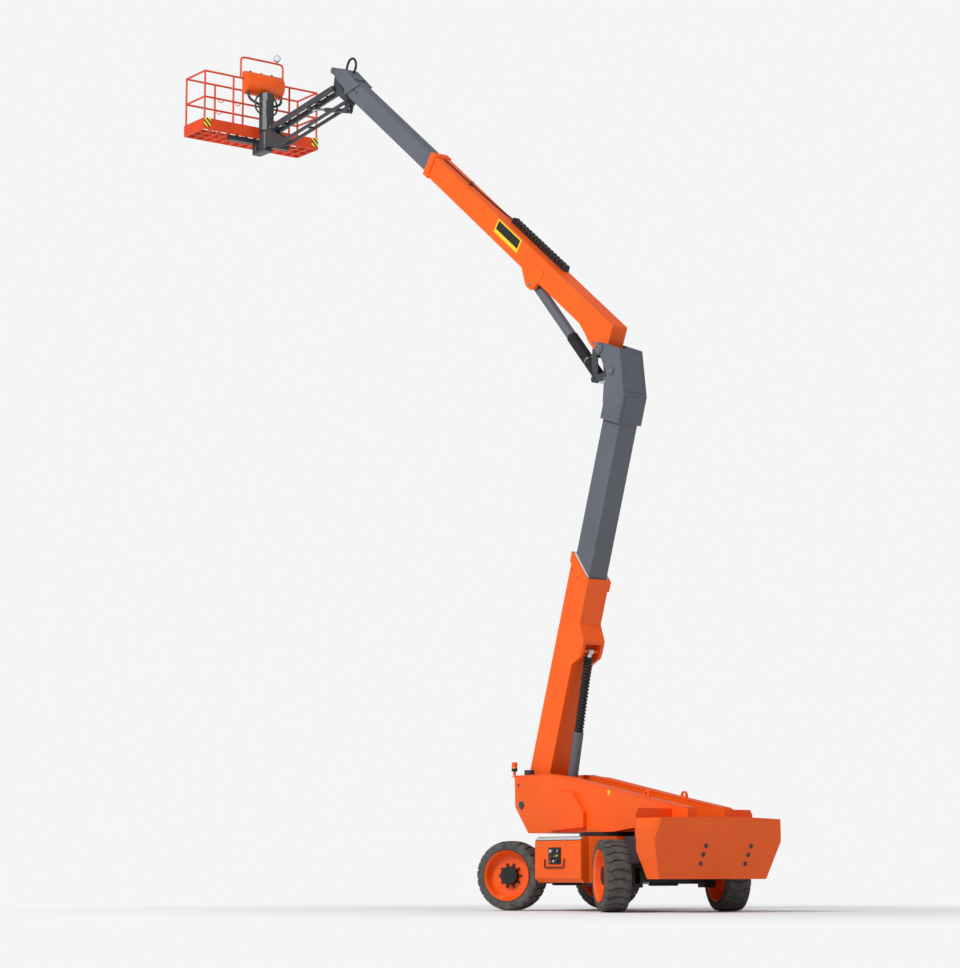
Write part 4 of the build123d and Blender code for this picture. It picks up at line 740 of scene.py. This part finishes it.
hosePiece("tipEye", [
    onUpper(9.72, 0.36), onUpper(9.69, 0.43), onUpper(9.70, 0.55), onUpper(9.80, 0.625),
    onUpper(9.92, 0.615), onUpper(9.99, 0.52), onUpper(9.98, 0.42), onUpper(9.95, 0.34),
], 0.022, blackPaint, "upper_inner")
for i, y in enumerate((-0.012, 0.012)):
    hosePiece(f"trayHose{i}", [
        onUpper(3.68, 0.430, -0.085 + y), onUpper(3.78, 0.428, -0.085 + y), onUpper(3.95, 0.415, -0.085 + y),
        onUpper(4.25, 0.411, -0.06 + y), onUpper(5.05, 0.412, -0.02 + y * 0.6), onUpper(6.05, 0.412, y * 0.6),
    ], 0.008, blackPaint, "upper_outer")
print("upper boom pieces made")

# Jib: hoses along the arm, clamps, pin nuts
jibStart = Vector((7.880, 0, 14.820))
jibEnd = Vector((10.00042, 0, 14.57091))
jibAlong = (jibEnd - jibStart).normalized()
jibUp = Vector((-jibAlong.z, 0, jibAlong.x))
jibTurn = framed(jibAlong, jibUp)
for i, share in enumerate((0.22, 0.52, 0.82)):
    place = jibStart.lerp(jibEnd, share) + jibUp * 0.053
    blockPiece(f"jibClamp{i}", place, (0.045, 0.20, 0.012), jibTurn, blackPaint, "jib_arm")
for i, y in enumerate((-0.045, -0.015, 0.015, 0.045)):
    path = [jibStart + jibAlong * s + jibUp * h + Vector((0, y, 0)) for s, h in (
        (0.20, 0.062), (0.45, 0.070), (0.80, 0.068), (1.12, 0.070), (1.45, 0.068), (1.76, 0.070),
        (1.95, 0.060),
    )]
    hosePiece(f"jibHose{i}", path, 0.011, blackPaint, "jib_arm")
for side, label in bothSides:
    for name, pin in (("jibRoot", jibStart), ("jibTip", jibEnd)):
        cap = pin + Vector((0, 0.130 * side, 0))
        rodPiece(f"{name}Nut{label}", cap, cap + Vector((0, 0.022 * side, 0)), 0.020, zinc, "jib_arm", 6)
print("jib pieces made")

# Platform: rounded console, its brackets and controls, hoop, work light, loops, striped plates
console = {
    "x": 10.560, "z": 15.550, "deep": 0.207, "tall": 0.219, "half": 0.409, "front": 10.612,
    "steps": 12, "edge": 0.012,
}
shell = [(console["front"], console["z"] + console["tall"])]
for i in range(console["steps"] + 1):
    a = pi / 2 + pi * i / console["steps"]
    shell.append((console["x"] + console["deep"] * cos(a), console["z"] + console["tall"] * sin(a)))
shell.append((console["front"], console["z"] - console["tall"]))
shellSide = [(x, -console["half"], z) for x, z in shell]
shellWidth = (0, 2 * console["half"], 0)
drum = platePiece("consoleShell", shellSide, shellWidth, orangeShiny, "platform", console["edge"])
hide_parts("control_console")
blockPiece("consolePanel", Vector((10.585, 0, 15.769)), (0.070, 0.66, 0.010), upright, blackPaint, "platform")
# across, height, finish
levers = [(-0.24, 0.045, blackPaint), (0.0, 0.030, yellow), (0.24, 0.045, blackPaint)]
for i, (y, tall, material) in enumerate(levers):
    foot = Vector((10.585, y, 15.772))
    rodPiece(f"leverBoot{i}", foot, foot + Vector((0, 0, 0.022)), 0.030, gaiterRubber, "platform", 24)
    rodPiece(f"lever{i}", foot, foot + Vector((0, 0, tall)), 0.013, material, "platform", 18, 0.005)
for side, label in bothSides:
    hosePiece(f"consoleArm{label}", [
        (10.45, 0.36 * side, 15.36), (10.44, 0.37 * side, 15.28), (10.42, 0.34 * side, 15.20),
        (10.40, 0.24 * side, 15.14), (10.38, 0.12 * side, 15.10),
    ], 0.026, darkGrey, "platform")
    hosePiece(f"consoleLoop{label}", [
        (10.40, 0.13 * side, 15.30), (10.39, 0.22 * side, 15.25), (10.38, 0.25 * side, 15.10),
        (10.38, 0.22 * side, 14.97), (10.37, 0.12 * side, 14.92),
    ], 0.018, darkGrey, "platform")
hoop = {"x": 10.557, "half": 0.471, "low": 15.62, "top": 16.04, "pipe": 0.0195}
hoopLeft = [
    (hoop["half"], hoop["low"]), (hoop["half"], 15.75), (hoop["half"], 15.90),
    (hoop["half"] - 0.005, hoop["top"] - 0.02), (hoop["half"] - 0.09, hoop["top"]), (0.20, hoop["top"]),
]
hoopHalves = hoopLeft + [(-y, z) for y, z in reversed(hoopLeft)]
hoopPath = [(hoop["x"], y, z) for y, z in hoopHalves]
hoopPiece = hosePiece("guardHoop", hoopPath, hoop["pipe"], railOrange, "platform")
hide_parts("guard_hoop")
lamp = Vector((hoop["x"], -0.340, 16.145))
rodPiece("workLightStem", Vector((hoop["x"], -0.340, 16.03)), lamp, 0.011, blackPaint, "platform")
facing = Vector((-0.88, 0.46, -0.10)).normalized()
lampBack, lampFront = lamp - facing * 0.035, lamp + facing * 0.026
lensBack, lensFront = lamp + facing * 0.020, lamp + facing * 0.032
rodPiece("workLightBody", lampBack, lampFront, 0.066, darkGrey, "platform", 32, 0.012)
rodPiece("workLightLens", lensBack, lensFront, 0.056, glassLens, "platform", 32, 0.004)
midRail = 15.118
for i, (x, y) in enumerate(((10.557, 0.53), (10.557, 0.90), (11.253, 0.53), (11.253, -0.53))):
    hosePiece(f"lanyardLoop{i}", [
        (x, y - 0.055, midRail - 0.010), (x, y - 0.050, midRail - 0.040), (x, y - 0.020, midRail - 0.062),
        (x, y + 0.020, midRail - 0.062), (x, y + 0.050, midRail - 0.040), (x, y + 0.055, midRail - 0.010),
    ], 0.008, railOrange, "platform")
# Slanted stripes, from height less the place across
stripeFacts = {"perMetre": 10.0, "dark": 0.5, "roughness": 0.45, "size": (0.005, 0.140, 0.166)}
stripes = bpy.data.materials.new("stripedPlate")
stripes.use_nodes = True
stripeTree = stripes.node_tree
stripeCoords = stripeTree.nodes.new("ShaderNodeTexCoord")
stripeAxes = stripeTree.nodes.new("ShaderNodeSeparateXYZ")
stripeTree.links.new(stripeCoords.outputs["Object"], stripeAxes.inputs["Vector"])
stripeSum = stripeTree.nodes.new("ShaderNodeMath")
stripeSum.operation = "SUBTRACT"
stripeTree.links.new(stripeAxes.outputs["Z"], stripeSum.inputs[0])
stripeTree.links.new(stripeAxes.outputs["Y"], stripeSum.inputs[1])
stripeCount = stripeTree.nodes.new("ShaderNodeMath")
stripeCount.operation = "MULTIPLY"
stripeCount.inputs[1].default_value = stripeFacts["perMetre"]
stripeTree.links.new(stripeSum.outputs["Value"], stripeCount.inputs[0])
stripePart = stripeTree.nodes.new("ShaderNodeMath")
stripePart.operation = "FRACT"
stripeTree.links.new(stripeCount.outputs["Value"], stripePart.inputs[0])
stripeStep = stripeTree.nodes.new("ShaderNodeMath")
stripeStep.operation = "GREATER_THAN"
stripeStep.inputs[1].default_value = stripeFacts["dark"]
stripeTree.links.new(stripePart.outputs["Value"], stripeStep.inputs[0])
stripeTone = mix(stripeTree, (0.95, 0.74, 0.04), (0.010, 0.010, 0.011), stripeStep.outputs["Value"])
stripeShader = stripeTree.nodes["Principled BSDF"]
stripeTree.links.new(stripeTone, stripeShader.inputs["Base Color"])
stripeShader.inputs["Roughness"].default_value = stripeFacts["roughness"]
for side, label in bothSides:
    place = Vector((10.5275, 1.205 * side, 14.617))
    blockPiece(f"stripedPlate{label}", place, stripeFacts["size"], upright, stripes, "platform", 0.001)
hosePiece("postHose", [
    (10.262, -0.05, 14.70), (10.225, -0.06, 14.85), (10.222, -0.06, 15.05), (10.235, -0.06, 15.22),
    (10.30, -0.08, 15.30), (10.38, -0.10, 15.36),
], 0.012, blackPaint, "platform")
postPlateSize = (0.008, 0.16, 0.34)
blockPiece("postPlate", Vector((10.243, 0.0, 15.00)), postPlateSize, upright, darkGrey, "platform", 0.003)
print("platform pieces made")
